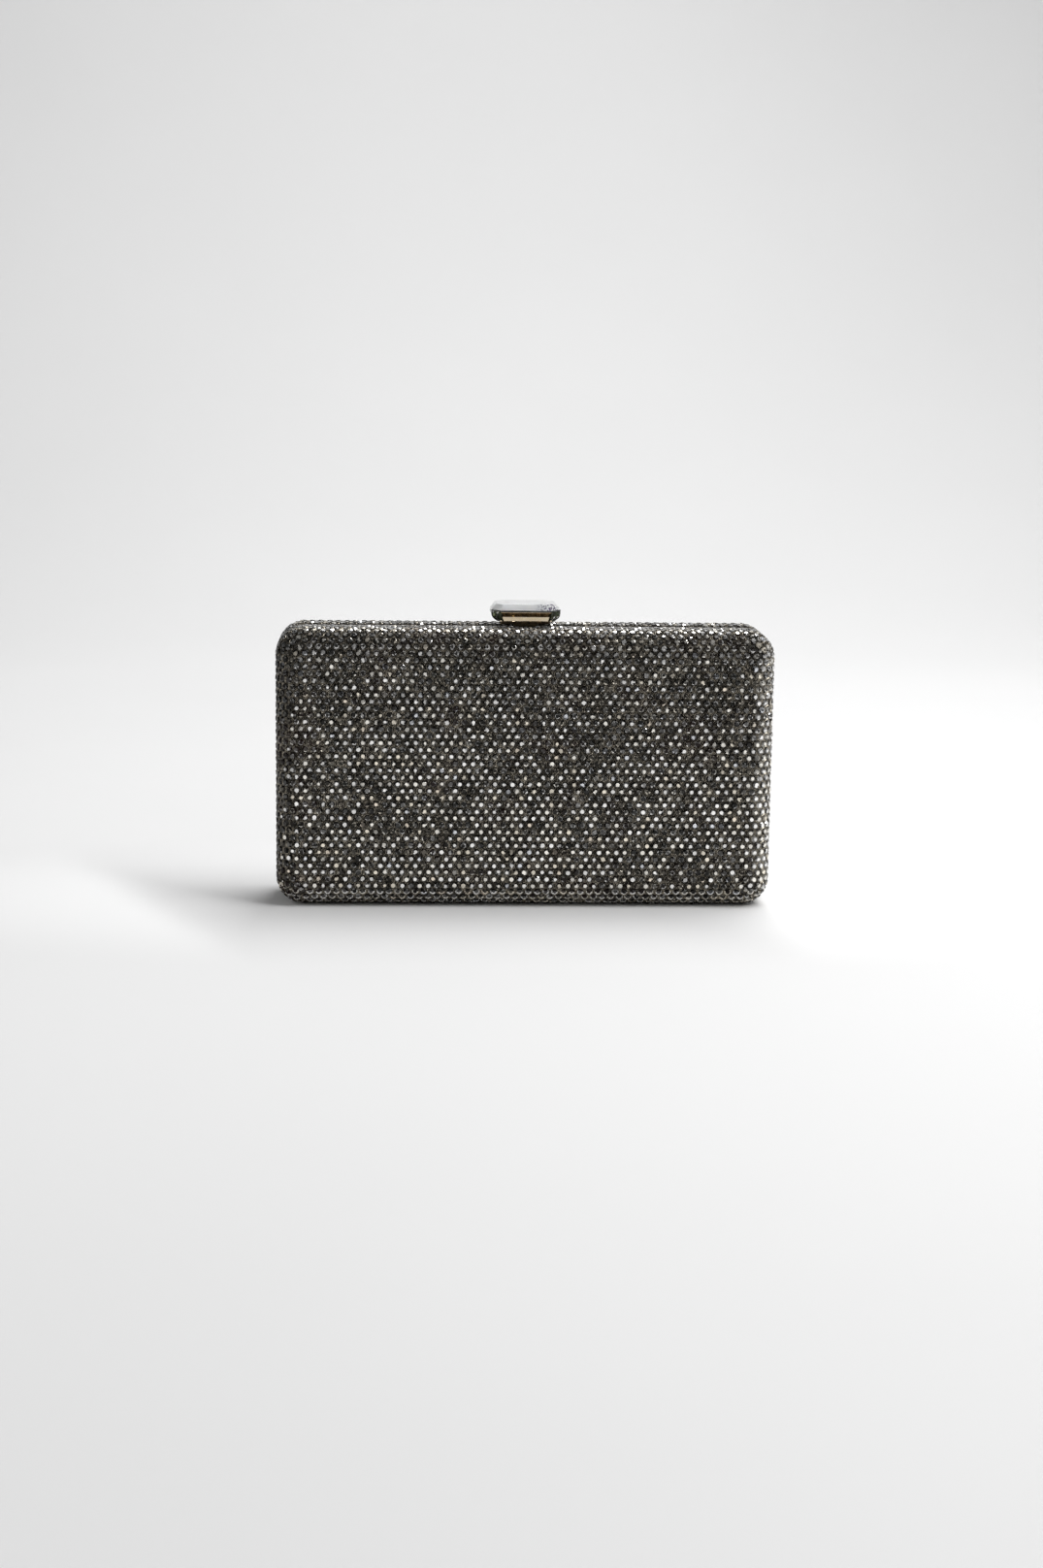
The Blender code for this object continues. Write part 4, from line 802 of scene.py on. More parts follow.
def stone_flash(places, normals, random, turn):
    """Foil in the central, star and crown facets of each stone, partly painted glints, and how matte it is.

    Over half of the stones flash in the middle: more of them low down, towards the left and on top, fewer
    where the left edge rolls off, which is painted highlight and painted shade. The rest show a little foil.
    Beside the central flash lies a tail over one or two star facets. The right edge gets painted glints on
    its star and crown facets, and the rows under the top are painted darker. Where the skin leans back or
    under, the flash slides down into the lower facets and becomes a painted crescent of matte foil. rise is
    the angle of the normal above the horizon, 0 on the flat face.
    """
    count = len(places)
    x, z = places[:, 0], places[:, 2]
    waves = np.sin(x * 71 + z * 43 + 1.3) + np.sin(z * 97 - x * 38)
    rise = np.where(np.abs(normals[:, 1]) > 0.995, 0.0, np.arcsin(np.clip(normals[:, 2], -1, 1)))
    # Masks that place painted light: painted shade under the top and on the left edge, painted glints on the
    # right.
    on_top = rising(rise, 1.0, 0.15)
    leaning = np.exp(-(((rise - 0.33) / 0.17) ** 2))
    painted_dark_rows = rising(rise, 0.42, 0.15) * (1 - on_top)
    under = rising(-rise, 0.15, 0.15)
    painted_glint_right_edge = rising(normals[:, 0], 0.1, 0.3)
    painted_shade_left_edge = rising(-normals[:, 0], 0.1, 0.4)
    # Odds of a painted glint: more low down, towards the left, on the right edge and on top, fewer on the
    # left edge.
    painted_glint_odds = FLASH_BASE + FLASH_WAVES * waves - PAINTED_GLINT_LOW_DOWN * (z - MIDDLE) - PAINTED_GLINT_LEFTWARDS * x
    painted_glint_odds += PAINTED_GLINT_RIGHT_EDGE * painted_glint_right_edge - PAINTED_SHADE_LEFT_EDGE * np.clip(-normals[:, 0], 0, 1)
    painted_glint_odds += PAINTED_GLINT_ON_TOP * on_top

    def away(direction):
        """Angle between each facet and one direction for each stone."""
        return np.abs((facet - direction[:, None] + np.pi) % (2 * np.pi) - np.pi)

    def share(low, high):
        """One random number for each stone, as a column."""
        return random.uniform(low, high, (count, 1))

    def each_facet(power):
        """One random number for each star or crown facet, to a power that makes high ones rare."""
        return random.random((count, SIDES)) ** power

    bright = random.random(count) < painted_glint_odds
    centre = np.where(bright, random.uniform(0.7, 1.0, count), 0.01 + 0.16 * random.random(count) ** 2)
    facet = turn[:, None] + (np.arange(SIDES) + 0.5) * (2 * np.pi / SIDES)
    tail = random.choice(TAIL_TURNS, count, p=TAIL_ODDS) + random.normal(0, 0.35, count)
    lower = away(np.where(normals[:, 1] > REAR_FACING, np.pi / 2, -np.pi / 2))
    leaning, under, on_top, painted_glint_right_edge = (part[:, None] for part in (leaning, under, on_top, painted_glint_right_edge))

    star = np.where(away(tail) < 0.42, share(0.15, 1.0) ** 1.2, 0.0)
    star = np.maximum(star, np.where(away(tail) < 0.8, share(0, 0.15), 0))
    star = np.maximum(star, np.where(lower < 1.0, leaning * share(0.2, 1.0), 0))
    star = np.maximum(star, 0.8 * each_facet(4))
    # Painted glints on the right edge's star facets.
    star = np.maximum(star, painted_glint_right_edge * each_facet(1.5))
    # Painted shade: star facets darker in the rows under the top and on the left edge.
    star *= ((1 - 0.3 * painted_dark_rows) * (1 - 0.75 * painted_shade_left_edge))[:, None]
    # Painted crescents: bright foil in the lower facets where the skin turns under.
    star = np.maximum(star * (1 - under), np.where(lower < 1.6, under * share(0.85, 1.0), 0))
    # Painted glints on the top's star facets.
    star = np.maximum(star, on_top * each_facet(2))

    crown = 0.5 * each_facet(8)
    crown = np.maximum(crown, 0.7 * painted_glint_right_edge * each_facet(2))
    # Painted crescents and painted glints on the crown facets: under, in the leaning rows and on top.
    crown = np.maximum(crown, np.where(lower < 1.8, under * share(0.75, 1.0), 0))
    crown = np.maximum(crown, np.where(lower < 0.5, leaning * share(0.0, 0.4), 0))
    seam_side = np.minimum(lower, np.pi - lower)
    glint = np.where(share(0, 1) < 0.6, share(0.35, 1.0), share(0.0, 0.15))
    crown = np.maximum(crown, np.where(seam_side < 0.5, on_top * glint, 0))

    leaning, under = leaning[:, 0], under[:, 0]
    # Painted shade: the central facet darker in the leaning rows, the rows under the top and where the skin
    # turns under.
    centre = centre * (1 - 0.5 * leaning) * (1 - 0.45 * painted_dark_rows) * (1 - 0.9 * under)
    return centre, star, crown, np.maximum(under, leaning * 0.8)


def cut_stones(half, material, seed):
    """All stones of one half as one piece; lot is a number for each stone that picks its foil."""
    random = np.random.default_rng(seed)
    places, normals, sizes, _ = LAYOUTS[half]
    count = len(places)
    turn = random.uniform(0, 2 * np.pi / SIDES, count)
    size = sizes * random.uniform(0.97, 1.02, count)
    shift = random.normal(0, 0.07, (count, 2)) * STONE_RADIUS
    table = random.uniform(0.75, 1.15, count) * (1.08 - 2.5 * (places[:, 2] - MIDDLE))
    upwards = np.where(normals[:, 1] > REAR_FACING, -1, 1)
    shift[:, 1] += 0.18 * STONE_RADIUS * upwards * np.clip(-normals[:, 2] / 0.4, 0, 1)
    rings = stone_points(places, stone_axes(normals, random, STONE_WOBBLE), turn, size, shift, table)
    centre, star, crown, milk = stone_flash(places, normals, random, turn)
    piece = ringed_piece(f"{half}_stones", rings, material)
    lot = random.random(count)
    around = (np.repeat(lot, SIDES), np.repeat(milk, SIDES))
    # These foil numbers carry the painted glints, the painted shade and the painted crescents.
    number_faces(
        piece,
        flash=np.concatenate((centre, star.ravel(), crown.ravel(), np.zeros(count))),
        lot=np.concatenate((lot, around[0], around[0], lot)),
        milk=np.concatenate((np.zeros(count), around[1], around[1], np.zeros(count))),
    )
    return hang_on_cover(piece, half)


# %% [markdown]
# ### Smoky glass over foil
#
# The finish reads those numbers. The foil number mixes near-black glass with bright foil and makes the facet
# metallic, so that it mirrors the room; where that number is painted in, its glints and shade are painted
# light. The crescent number takes that mirror away again and leaves matte bright foil, a painted crescent.
# The glass itself mirrors little. Soft noise brings in the brown and violet casts that a batch of stones has.

# %% The finish of the stones
CASTS = {"Scale": 55.0, "Low": 0.45, "High": 0.7}


def foiled_glass(name, darkest, lightest, foils):
    """Dark glass that turns to foil, in painted glints, by one attribute, and mirrors less by a second one.

    Where it mirrors less, the bright foil is a painted crescent. The lot attribute picks the foil's colour,
    from (place, colour) in foils, and how finely it is polished.
    """
    material, tree, shader = new_finish(name, Specular_IOR_Level=0.12)
    # The first attribute brings in foil as painted glints; the last leaves matte foil as painted crescents.
    flash, lot, milk = (
        add_node(tree, "Attribute", attribute_name=label) for label in ("flash", "lot", "milk")
    )
    body = use_group(tree, TONE, {"First": (*darkest, 1), "Second": (*lightest, 1), **CASTS})
    foil = add_ramp(tree, [(spot, (*colour, 1)) for spot, colour in foils], "CONSTANT")
    mix = colour_mix(tree)
    mirror = add_node(tree, "MapRange", {"To Min": 1.0, "To Max": 0.1})
    polish = maths(tree, "MULTIPLY")
    haze = add_node(tree, "MapRange", {"To Min": 0.06, "To Max": 0.2})
    join_nodes(
        tree,
        (lot, "Fac", foil, "Fac"),
        (flash, "Fac", mix, "Factor"),
        (body, "Color", mix, MIX_FIRST),
        (foil, "Color", mix, MIX_SECOND),
        (mix, MIX_RESULT, shader, "Base Color"),
        (milk, "Fac", mirror, "Value"),
        (mirror, "Result", polish, 0),
        (flash, "Fac", polish, 1),
        (polish, "Value", shader, "Metallic"),
        (lot, "Fac", haze, "Value"),
        (haze, "Result", shader, "Roughness"),
    )
    return material


STONE_FOILS = (
    (0.0, (0.99, 0.98, 0.96)),
    (0.52, (0.98, 0.95, 0.88)),
    (0.84, (0.96, 0.89, 0.76)),
    (0.95, (0.90, 0.92, 0.96)),
    (0.98, (0.93, 0.83, 0.70)),
)
SMOKY_STONE = foiled_glass("smoky_stone", (0.004, 0.004, 0.0035), (0.012, 0.006, 0.005), STONE_FOILS)
for half, seed in (("front", 11), ("rear", 12)):
    cut_stones(half, SMOKY_STONE, seed)

# %% [markdown]
# ## The cups between the stones
#
# What shows between the stones as a fine light honeycomb is the mesh itself: every stone sits in a small
# six-sided cup, and its rim catches the light. The cups could be one perforated sheet, but separate cups
# follow the round corners without any tearing. Where three cups meet there is a small bead that holds them.

# %% Press the cups
CUP_SIDES = 6
CUP_RADII = np.array([0.00171, 0.00171, 0.00142])
CUP_DEPTHS = np.array([0.00098, 0.00044, 0.00066])
CUP_WOBBLE = 0.012
CORNER_CUP = 0.90
BEAD_RADIUS = 0.00017
BEAD_DEPTH = 0.00050
BEAD_SPOTS = np.array([(0.0, 2 * ROW_PITCH / 3), (0.0, -2 * ROW_PITCH / 3)])
BEAD_SEED = 5


def press_cups(half, material, seed):
    """Closed six-sided cups: a back, an outer wall, a rim that slopes in and a floor under the stone."""
    random = np.random.default_rng(seed)
    places, normals, sizes, is_regular = LAYOUTS[half]
    axes = stone_axes(normals, random, CUP_WOBBLE)
    size = np.where(is_regular, 1.0, CORNER_CUP * sizes)
    angle = np.pi / 6 + np.arange(CUP_SIDES) * (2 * np.pi / CUP_SIDES)
    rings = rings_about(places, axes, angle, CUP_RADII * size[:, None], CUP_DEPTHS)
    piece = ringed_piece(f"{half}_cups", rings, material, flip=True)
    return hang_on_cover(piece, half)


def set_beads(half, material):
    """Eight-faced beads where three cups meet: two beside each stone of the lattice."""
    places, normals, _, is_regular = LAYOUTS[half]
    places, normals = places[is_regular], normals[is_regular]
    axis, first, second = stone_axes(normals, np.random.default_rng(BEAD_SEED), 0.0)
    offsets = first[:, None] * BEAD_SPOTS[None, :, :1] + second[:, None] * BEAD_SPOTS[None, :, 1:]
    middle = (places - axis * BEAD_DEPTH)[:, None] + offsets
    directions = np.stack((first, second, -first, -second, axis, -axis), axis=1)
    points = middle[:, :, None, :] + directions[:, None] * BEAD_RADIUS
    start = np.arange(len(places) * len(BEAD_SPOTS))[:, None] * 6
    above = [start + (k, (k + 1) % 4, 4) for k in range(4)]
    below = [start + ((k + 1) % 4, k, 5) for k in range(4)]
    piece = make_piece(f"{half}_beads", points, above + below, material)
    return hang_on_cover(piece, half)


MESH_METAL = grained_finish(
    "mesh_metal",
    (0.129, 0.116, 0.094),
    (0.355, 0.32, 0.26),
    {"Scale": 240.0, "Low": 0.4, "High": 0.6},
    {"Scale": 2200.0, "Smoothest": 0.22, "Roughest": 0.42, "Strength": 0.1},
    Metallic=0.85,
)[0]
for half, seed in (("front", 21), ("rear", 22)):
    press_cups(half, MESH_METAL, seed)
    set_beads(half, MESH_METAL)

# %% [markdown]
# ## The backing under the mesh
#
# The cups are glued to a thin dark cloth on the metal tray, which shows in the smallest gaps. It is one
# closed shell between two depths of the skin, worked out on a grid of outline by walk. Cells that lie in
# the hinge channel or over the lever's slot are left out, and walls close the openings they leave.

# %% Shells from a grid
STATIONS_PER_CORNER = 13
STEPS_OVER_ROLL = 10
STEPS_DOWN_WALL = 4


def outline_stations(extra_x=()):
    """Core points and outward directions round the case, anticlockwise seen from the front."""
    turn = np.linspace(0, np.pi / 2, STATIONS_PER_CORNER)
    between = np.sort(np.asarray(extra_x, float))[::-1]
    cores, directions = [], []
    for quarter, (sx, sz) in enumerate(((1, 1), (-1, 1), (-1, -1), (1, -1))):
        angles = turn if quarter % 2 == 0 else turn[::-1]
        cores.append(np.tile((sx * CORE_X, sz * CORE_Z), (len(angles), 1)))
        directions.append(np.stack((sx * np.cos(angles), sz * np.sin(angles)), axis=-1))
        if quarter == 0:
            cores.append(np.stack((between, np.full(len(between), CORE_Z)), axis=-1))
            directions.append(np.tile((0.0, 1.0), (len(between), 1)))
    return np.concatenate(cores), np.concatenate(directions)


def shell_walls(cells, kept, total, side):
    """Quads that join the two skins along every edge between a kept cell and a left-out one."""
    beyond = np.zeros((len(kept), 1), bool)
    later = np.concatenate((kept[:, 1:], beyond), axis=1)
    earlier = np.concatenate((~beyond, kept[:, :-1]), axis=1)
    neighbours = (later, earlier, np.roll(kept, -1, axis=0), np.roll(kept, 1, axis=0))
    corners = ((2, 3), (0, 1), (1, 2), (3, 0))
    pairs = np.concatenate(
        [cells[kept & ~neighbour][:, ends] for neighbour, ends in zip(neighbours, corners)]
    )
    quads = np.stack((pairs[:, 1], pairs[:, 0], pairs[:, 0] + total, pairs[:, 1] + total), axis=-1)
    return quads if side > 0 else quads[:, ::-1]


def tray_shell(name, side, outer, inner, end_depth, material, extra_walks=(), left_out=None, extra_x=()):
    """A closed tray between two depths, from the flat face to end_depth from the seam plane.

    Grid point (i, j) is the skin at station i and walk j. Kept cells make a face on each skin, every edge
    between a kept and a left-out cell makes a wall, and one polygon each closes the flat face.
    """
    cores, directions = outline_stations(extra_x)
    over_roll = np.linspace(FLAT_RIM, FLAT_RIM + ROLL, STEPS_OVER_ROLL)
    down_wall = np.linspace(FLAT_RIM + ROLL, walk_to(end_depth), STEPS_DOWN_WALL)[1:]
    walks = np.unique(np.concatenate((over_roll, down_wall, np.asarray(extra_walks, float))))
    stations, steps = len(cores), len(walks)
    total = stations * steps
    core = np.repeat(cores, steps, axis=0)
    direction = np.repeat(directions, steps, axis=0)
    walk = np.tile(walks, stations)
    skins = [skin(core, direction, walk, inset, side)[0] for inset in (outer, inner)]
    index = np.arange(total).reshape(stations, steps)
    following = np.roll(index, -1, axis=0)
    cells = np.stack((index[:, :-1], following[:, :-1], following[:, 1:], index[:, 1:]), axis=-1)
    kept = np.ones(cells.shape[:2], bool) if left_out is None else ~left_out(skins[0][cells].mean(axis=2))
    order = (0, 1, 2, 3) if side > 0 else (3, 2, 1, 0)
    outside = cells[kept][:, order]
    inside = cells[kept][:, order[::-1]] + total
    walls = shell_walls(cells, kept, total, side)
    face_ring = index[:, 0] if side > 0 else index[:, 0][::-1]
    faces = [outside, inside, walls, face_ring[None][:, ::-1], face_ring[None] + total]
    return make_piece(name, np.concatenate(skins), faces, material, smooth=True)


# %% [markdown]
# ### The backing itself
#
# The cloth is nearly black with a coarse grain. Only the rear one has the lever's slot, so only it gets the
# extra grid lines there.

# %% Make the backing
BACKING_DEPTH = 0.0009
COVER_WALL = 0.0018
BACKING_CLOTH = grained_finish(
    "backing_cloth",
    (0.03, 0.028, 0.026),
    (0.055, 0.05, 0.045),
    {"Scale": 500.0},
    {"Scale": 3000.0, "Smoothest": 0.45, "Roughest": 0.7, "Strength": 0.3},
    Metallic=0.0,
)[0]


def in_channel_or_slot(places):
    """Which places lie in the hinge channel or over the lever's slot."""
    return in_channel(places) | in_slot(places)


CHANNEL_WALK = walk_to(CHANNEL_DEPTH)
SLOT_EDGES = (-SLOT_HALF_WIDTH, SLOT_HALF_WIDTH)
for half, side, walks, left_out, edges in (
    ("front", -1, (CHANNEL_WALK,), in_channel, ()),
    ("rear", 1, (CHANNEL_WALK, walk_to(SLOT_DEPTH)), in_channel_or_slot, SLOT_EDGES),
):
    layers = (BACKING_DEPTH, COVER_WALL, SEAM_START)
    backing = tray_shell(f"{half}_backing", side, *layers, BACKING_CLOTH, walks, left_out, edges)
    hang_on_cover(backing, half)

# %% [markdown]
# ## The stone of the clasp
#
# The clasp is one large oblong stone of clear glass with its corners cut. What makes it white is a silver
# foil close under its flat top and its slanting rim: light goes through the glass, meets the foil and comes
# out again. A white material would look like enamel, so the glass and the foil are two pieces here.

# %% Cut the clasp's glass
STONE_LOW, STONE_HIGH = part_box("clasp_stone")
STONE_MIDDLE_Y = (STONE_LOW.y + STONE_HIGH.y) / 2
STONE_HALF_X = STONE_HIGH.x
STONE_HALF_Y = (STONE_HIGH.y - STONE_LOW.y) / 2
STONE_TOP = STONE_HIGH.z
STONE_CUT = 0.0034
GLASS_STEPS = ((1.90, 0.0), (0.05, -2.05), (0.0, -2.12), (0.0, -2.50), (1.70, -3.75))
FOIL_STEPS = ((2.05, -0.22), (0.28, -2.14), (0.28, -2.20), (2.10, -0.30))


def cut_outline(inset):
    """The eight corners of the oblong, drawn in by an inset; the cut corners keep their 45 degrees."""
    x, y = STONE_HALF_X - inset, STONE_HALF_Y - inset
    cut = STONE_CUT - inset * (2 - math.sqrt(2))
    return np.array(
        [
            (x, -y + cut), (x, y - cut), (x - cut, y), (-x + cut, y),
            (-x, y - cut), (-x, -y + cut), (-x + cut, -y), (x - cut, -y),
        ]
    )


def on_stone(flat, drop):
    """Points from flat ones about the stone's middle and their drop from its top, a negative number."""
    height = np.broadcast_to(STONE_TOP + drop, flat.shape[:-1])
    return np.concatenate((flat + (0, STONE_MIDDLE_Y), height[..., None]), axis=-1)


def stepped_body(name, steps, material):
    """A closed body of outlines one above another; steps are (inset, drop) in millimetres, from the top."""
    rings = [on_stone(cut_outline(inset), drop) for inset, drop in 0.001 * np.array(steps)]
    return ringed_piece(name, np.array([rings]), material)


CLEAR_GLASS, tree, shader = new_finish("clear_glass", Roughness=0.02, IOR=1.52, Transmission_Weight=1.0)
casts = {"First": (0.990, 0.997, 1.0, 1), "Second": (1.0, 0.997, 0.992, 1), "Scale": 300.0}
join_nodes(tree, (use_group(tree, TONE, casts), "Color", shader, "Base Color"))
hang(stepped_body("clasp_glass", GLASS_STEPS, CLEAR_GLASS), "clasp", "clear_stone", "clasp_stone")

# %% [markdown]
# ### The foil in the clasp's stone
#
# The foil is a thin cap in the same outline. The steps cut under a real stone show in it as painted shade:
# nested oblongs whose tone changes by the distance from the outline, with more painted shade towards the two
# ends. Near the front right corner a glitter of dark violet specks is mixed in, a painted sparkle.

# %% Fold the foil
# Painted sparkle: dark violet specks near the front right corner of the foil.
PAINTED_SPARKLE = {"Scale": 1500.0, "Detail": 0.0, "Low": 0.52, "High": 0.57}
PAINTED_SPARKLE_RIGHT = {"From Min": 0.003, "From Max": 0.008, "To Max": 1.0}
PAINTED_SPARKLE_FRONT = {"From Min": -0.0050, "From Max": -0.0062, "To Max": 1.0}
# Painted shade of the step cut by distance from the outline, and more painted shade towards the ends.
PAINTED_STEP_SHADES = ((0.0, 1.0), (0.26, 0.94), (0.42, 1.0), (0.57, 0.965), (0.72, 1.0))
PAINTED_END_SHADE = 0.97

SILVER_FOIL, tree, shader = new_finish("silver_foil", Metallic=0.1, Roughness=0.42)
casts = {"First": grey(0.99), "Second": (0.965, 0.975, 0.99, 1), "Scale": 260.0, "Detail": 1.0}
tone = use_group(tree, TONE, casts)
# The painted sparkle's dark violet specks.
painted_sparkle = use_group(tree, TONE, {"First": grey(1), "Second": (0.10, 0.07, 0.18, 1), **PAINTED_SPARKLE})
where = add_node(tree, "TexCoord")
spot = add_node(tree, "SeparateXYZ")
rightwards = add_node(tree, "MapRange", PAINTED_SPARKLE_RIGHT)
forwards = add_node(tree, "MapRange", PAINTED_SPARKLE_FRONT)
near_corner = maths(tree, "MULTIPLY")
beyond = []
for axis, middle, reach in (("X", 0.0, STONE_HALF_X), ("Y", STONE_MIDDLE_Y, STONE_HALF_Y)):
    centred = maths(tree, "SUBTRACT", {1: middle})
    mirrored = maths(tree, "ABSOLUTE")
    over = maths(tree, "SUBTRACT", {1: reach})
    join_nodes(tree, (spot, axis, centred, 0), (centred, "Value", mirrored, 0), (mirrored, "Value", over, 0))
    beyond.append(over)
nearest = maths(tree, "MAXIMUM")
is_end = maths(tree, "GREATER_THAN")
outwards = add_node(tree, "MapRange", {"From Min": -STONE_HALF_Y, "From Max": 0.0})
# Painted shade in nested oblongs, and at the two ends below.
steps = add_ramp(tree, [(place, grey(value)) for place, value in PAINTED_STEP_SHADES], "CONSTANT")
painted_end_tone = add_node(tree, "MapRange", {"To Min": 1.0, "To Max": PAINTED_END_SHADE})
painted_sparkle_mix, painted_step_mix, painted_end_mix = (colour_mix(tree, "MULTIPLY", factor) for factor in (0.5, 1.0, 1.0))
join_nodes(
    tree,
    (where, "Object", spot, "Vector"),
    (spot, "X", rightwards, "Value"),
    (spot, "Y", forwards, "Value"),
    (rightwards, "Result", near_corner, 0),
    (forwards, "Result", near_corner, 1),
    (near_corner, "Value", painted_sparkle_mix, "Factor"),
    (beyond[0], "Value", nearest, 0),
    (beyond[1], "Value", nearest, 1),
    (beyond[0], "Value", is_end, 0),
    (beyond[1], "Value", is_end, 1),
    (nearest, "Value", outwards, "Value"),
    (outwards, "Result", steps, "Fac"),
    (is_end, "Value", painted_end_tone, "Value"),
    (tone, "Color", painted_sparkle_mix, MIX_FIRST),
    (painted_sparkle, "Color", painted_sparkle_mix, MIX_SECOND),
    (painted_sparkle_mix, MIX_RESULT, painted_step_mix, MIX_FIRST),
    (steps, "Color", painted_step_mix, MIX_SECOND),
    (painted_step_mix, MIX_RESULT, painted_end_mix, MIX_FIRST),
    (painted_end_tone, "Result", painted_end_mix, MIX_SECOND),
    (painted_end_mix, MIX_RESULT, shader, "Base Color"),
)
hang(stepped_body("clasp_foil", FOIL_STEPS, SILVER_FOIL), "clasp", "clear_stone", "clasp_stone")

# %% [markdown]
# ## The gold round the stone
#
# Below the girdle the front and the back of the stone are clad in gold. An upper plate slopes in under the
# stone and mirrors the dark stones on the case, and its gold is also painted darker and browner than the
# bar's, as painted shade, so that it looks brown. Under it hangs an upright bar that mirrors the pale floor
# and looks like cream. Thin posts end each bar and shine as bright lines.

# %% Plates, bars and posts
PLATE_PROFILE = 0.001 * np.array(
    [
        (0.1, -2.85), (0.1, -3.0), (2.05, -4.65), (2.6, -4.65),
        (2.6, -4.57), (2.08, -4.57), (0.15, -2.95), (0.15, -2.85),
    ]
)
BAR_PROFILE = 0.001 * np.array([(2.12, -4.67), (2.12, -6.10), (2.3, -6.37), (2.44, -6.37), (2.44, -4.67)])
POST_HALF = 0.00020
POST_INSET = 0.00226
POST_DROPS = (-0.00640, -0.00465)
POST_ROUNDING = 0.00006


def inwards_from(first, last):
    """The direction from one side of the outline into the stone."""
    along = (last - first) / np.linalg.norm(last - first)
    return np.array([-along[1], along[0]])


def cladding(name, profile, material):
    """Bodies along the front and the back of the stone: a profile of (inset, drop) carried along the side."""
    outline = cut_outline(0.0)
    bodies = []
    for first, last in ((outline[2], outline[3]), (outline[6], outline[7])):
        rings = np.array([first, last])[:, None, :] + inwards_from(first, last) * profile[None, :, :1]
        bodies.append(on_stone(rings, profile[:, 1]))
    return hang(ringed_piece(name, np.array(bodies), material), "clasp", "clasp_metal", "clasp_stone")


# The plates get the darker gold, painted shade.
cladding("clasp_plates", PLATE_PROFILE, METAL["gold_with_painted_shade"])
cladding("clasp_bars", BAR_PROFILE, METAL["bezel_gold"])

corners = cut_outline(0.0)[[2, 3, 6, 7]] * (1, 1 - POST_INSET / STONE_HALF_Y)
square = np.array([(-1, -1), (1, -1), (1, 1), (-1, 1)]) * POST_HALF
rings = np.stack([on_stone(corners[:, None, :] + square, drop) for drop in POST_DROPS], axis=1)
posts = ringed_piece("clasp_posts", rings, METAL["bezel_gold"], flip=True)
bevel = posts.modifiers.new("rounding", "BEVEL")
bevel.width = POST_ROUNDING
bevel.segments = 2
hang(posts, "clasp", "clasp_metal", "clasp_stone")

# %% [markdown]
# ## The faceted ends
#
# The two ends of the stone and its four cut corners are fields of facets in dark green glass, which run
# down and inwards. They get the same finish as the small stones, with its own colours, and the same kind of
# numbers: a share of the facets, picked at random, gets bright foil as painted glints.

# %% Facet the ends
END_ROWS = 0.001 * np.array(
    [(0.05, -2.54), (0.0, -3.3), (0.15, -4.3), (0.6, -5.1), (1.4, -5.85), (2.3, -6.4)]
)
END_COLUMNS = 6
END_BACK = 0.0006
END_SIDES = (0, 1, 3, 4, 5, 7)
END_SEED = 31
END_PAINTED_GLINT_SHARE = 0.34
UNEVEN_INSET = 0.00008
UNEVEN_SLIDE = 0.22 / END_COLUMNS
NARROWING = 2 * math.tan(math.pi / 8)


def end_field(first, last, random):
    """Facets over one side of the outline: rows of points (inset, drop), each moved at random a little.

    A side of the oblong gets shorter by NARROWING for each unit of inset, so that neighbouring fields meet.
    The second layer of points is the field's back, which closes the body.
    """
    length = np.linalg.norm(last - first)
    inwards = inwards_from(first, last)
    rows, columns = len(END_ROWS), END_COLUMNS + 1
    shift = random.normal(0, UNEVEN_INSET, (rows, columns))
    slide = random.normal(0, UNEVEN_SLIDE, (rows, columns))
    shift[:, [0, -1]] = 0
    slide[:, [0, -1]] = 0
    width = 1 - NARROWING * END_ROWS[:, :1] / length
    spot = 0.5 + (np.linspace(0, 1, columns)[None] + slide - 0.5) * width
    flat = first + (last - first) * spot[..., None] + inwards * (END_ROWS[:, :1] + shift)[..., None]
    front = on_stone(flat, END_ROWS[:, 1:])
    back = front.copy()
    back[..., :2] += inwards * END_BACK
    return np.stack((front, back))


outline = cut_outline(0.0)
random = np.random.default_rng(END_SEED)
fields = np.array([end_field(outline[k], outline[(k + 1) % 8], random) for k in END_SIDES])
layer = len(END_ROWS) * (END_COLUMNS + 1)
index = np.arange(layer).reshape(len(END_ROWS), END_COLUMNS + 1)
cells = np.stack((index[1:, :-1], index[1:, 1:], index[:-1, 1:], index[:-1, :-1]), axis=-1).reshape(-1, 4)
facets = np.concatenate((cells[:, [0, 1, 2]], cells[:, [0, 2, 3]]))
rim = np.concatenate((index[0, :-1], index[:-1, -1], index[-1, :0:-1], index[:0:-1, 0]))
rim_next = np.roll(rim, -1)
edge_quads = np.stack((rim, rim_next, rim_next + layer, rim + layer), axis=-1)
starts = (np.arange(len(fields)) * 2 * layer)[:, None, None]
front_facets = (facets[None] + starts).reshape(-1, 3)
back_cells = (cells[None, :, ::-1] + starts + layer).reshape(-1, 4)
edges = (edge_quads[None] + starts).reshape(-1, 4)
END_FOILS = (
    (0.0, (0.95, 0.95, 0.92)),
    (0.4, (0.30, 0.34, 0.20)),
    (0.7, (0.8, 0.76, 0.6)),
    (0.85, (0.22, 0.28, 0.17)),
)
GREEN_GLASS = foiled_glass("green_glass", (0.005, 0.007, 0.004), (0.02, 0.024, 0.011), END_FOILS)
ends = make_piece("clasp_ends", fields, [front_facets, back_cells, edges], GREEN_GLASS)
total, shown = len(ends.data.polygons), len(front_facets)
# Painted glints: a random share of the facets gets bright foil.
is_painted_glint = random.random(shown) < END_PAINTED_GLINT_SHARE
flash = np.zeros(total)
flash[:shown] = np.where(is_painted_glint, random.uniform(0.5, 1, shown), random.uniform(0, 0.08, shown))
number_faces(ends, flash=flash, lot=random.random(total))
hang(ends, "clasp", "clear_stone", "clasp_stone")

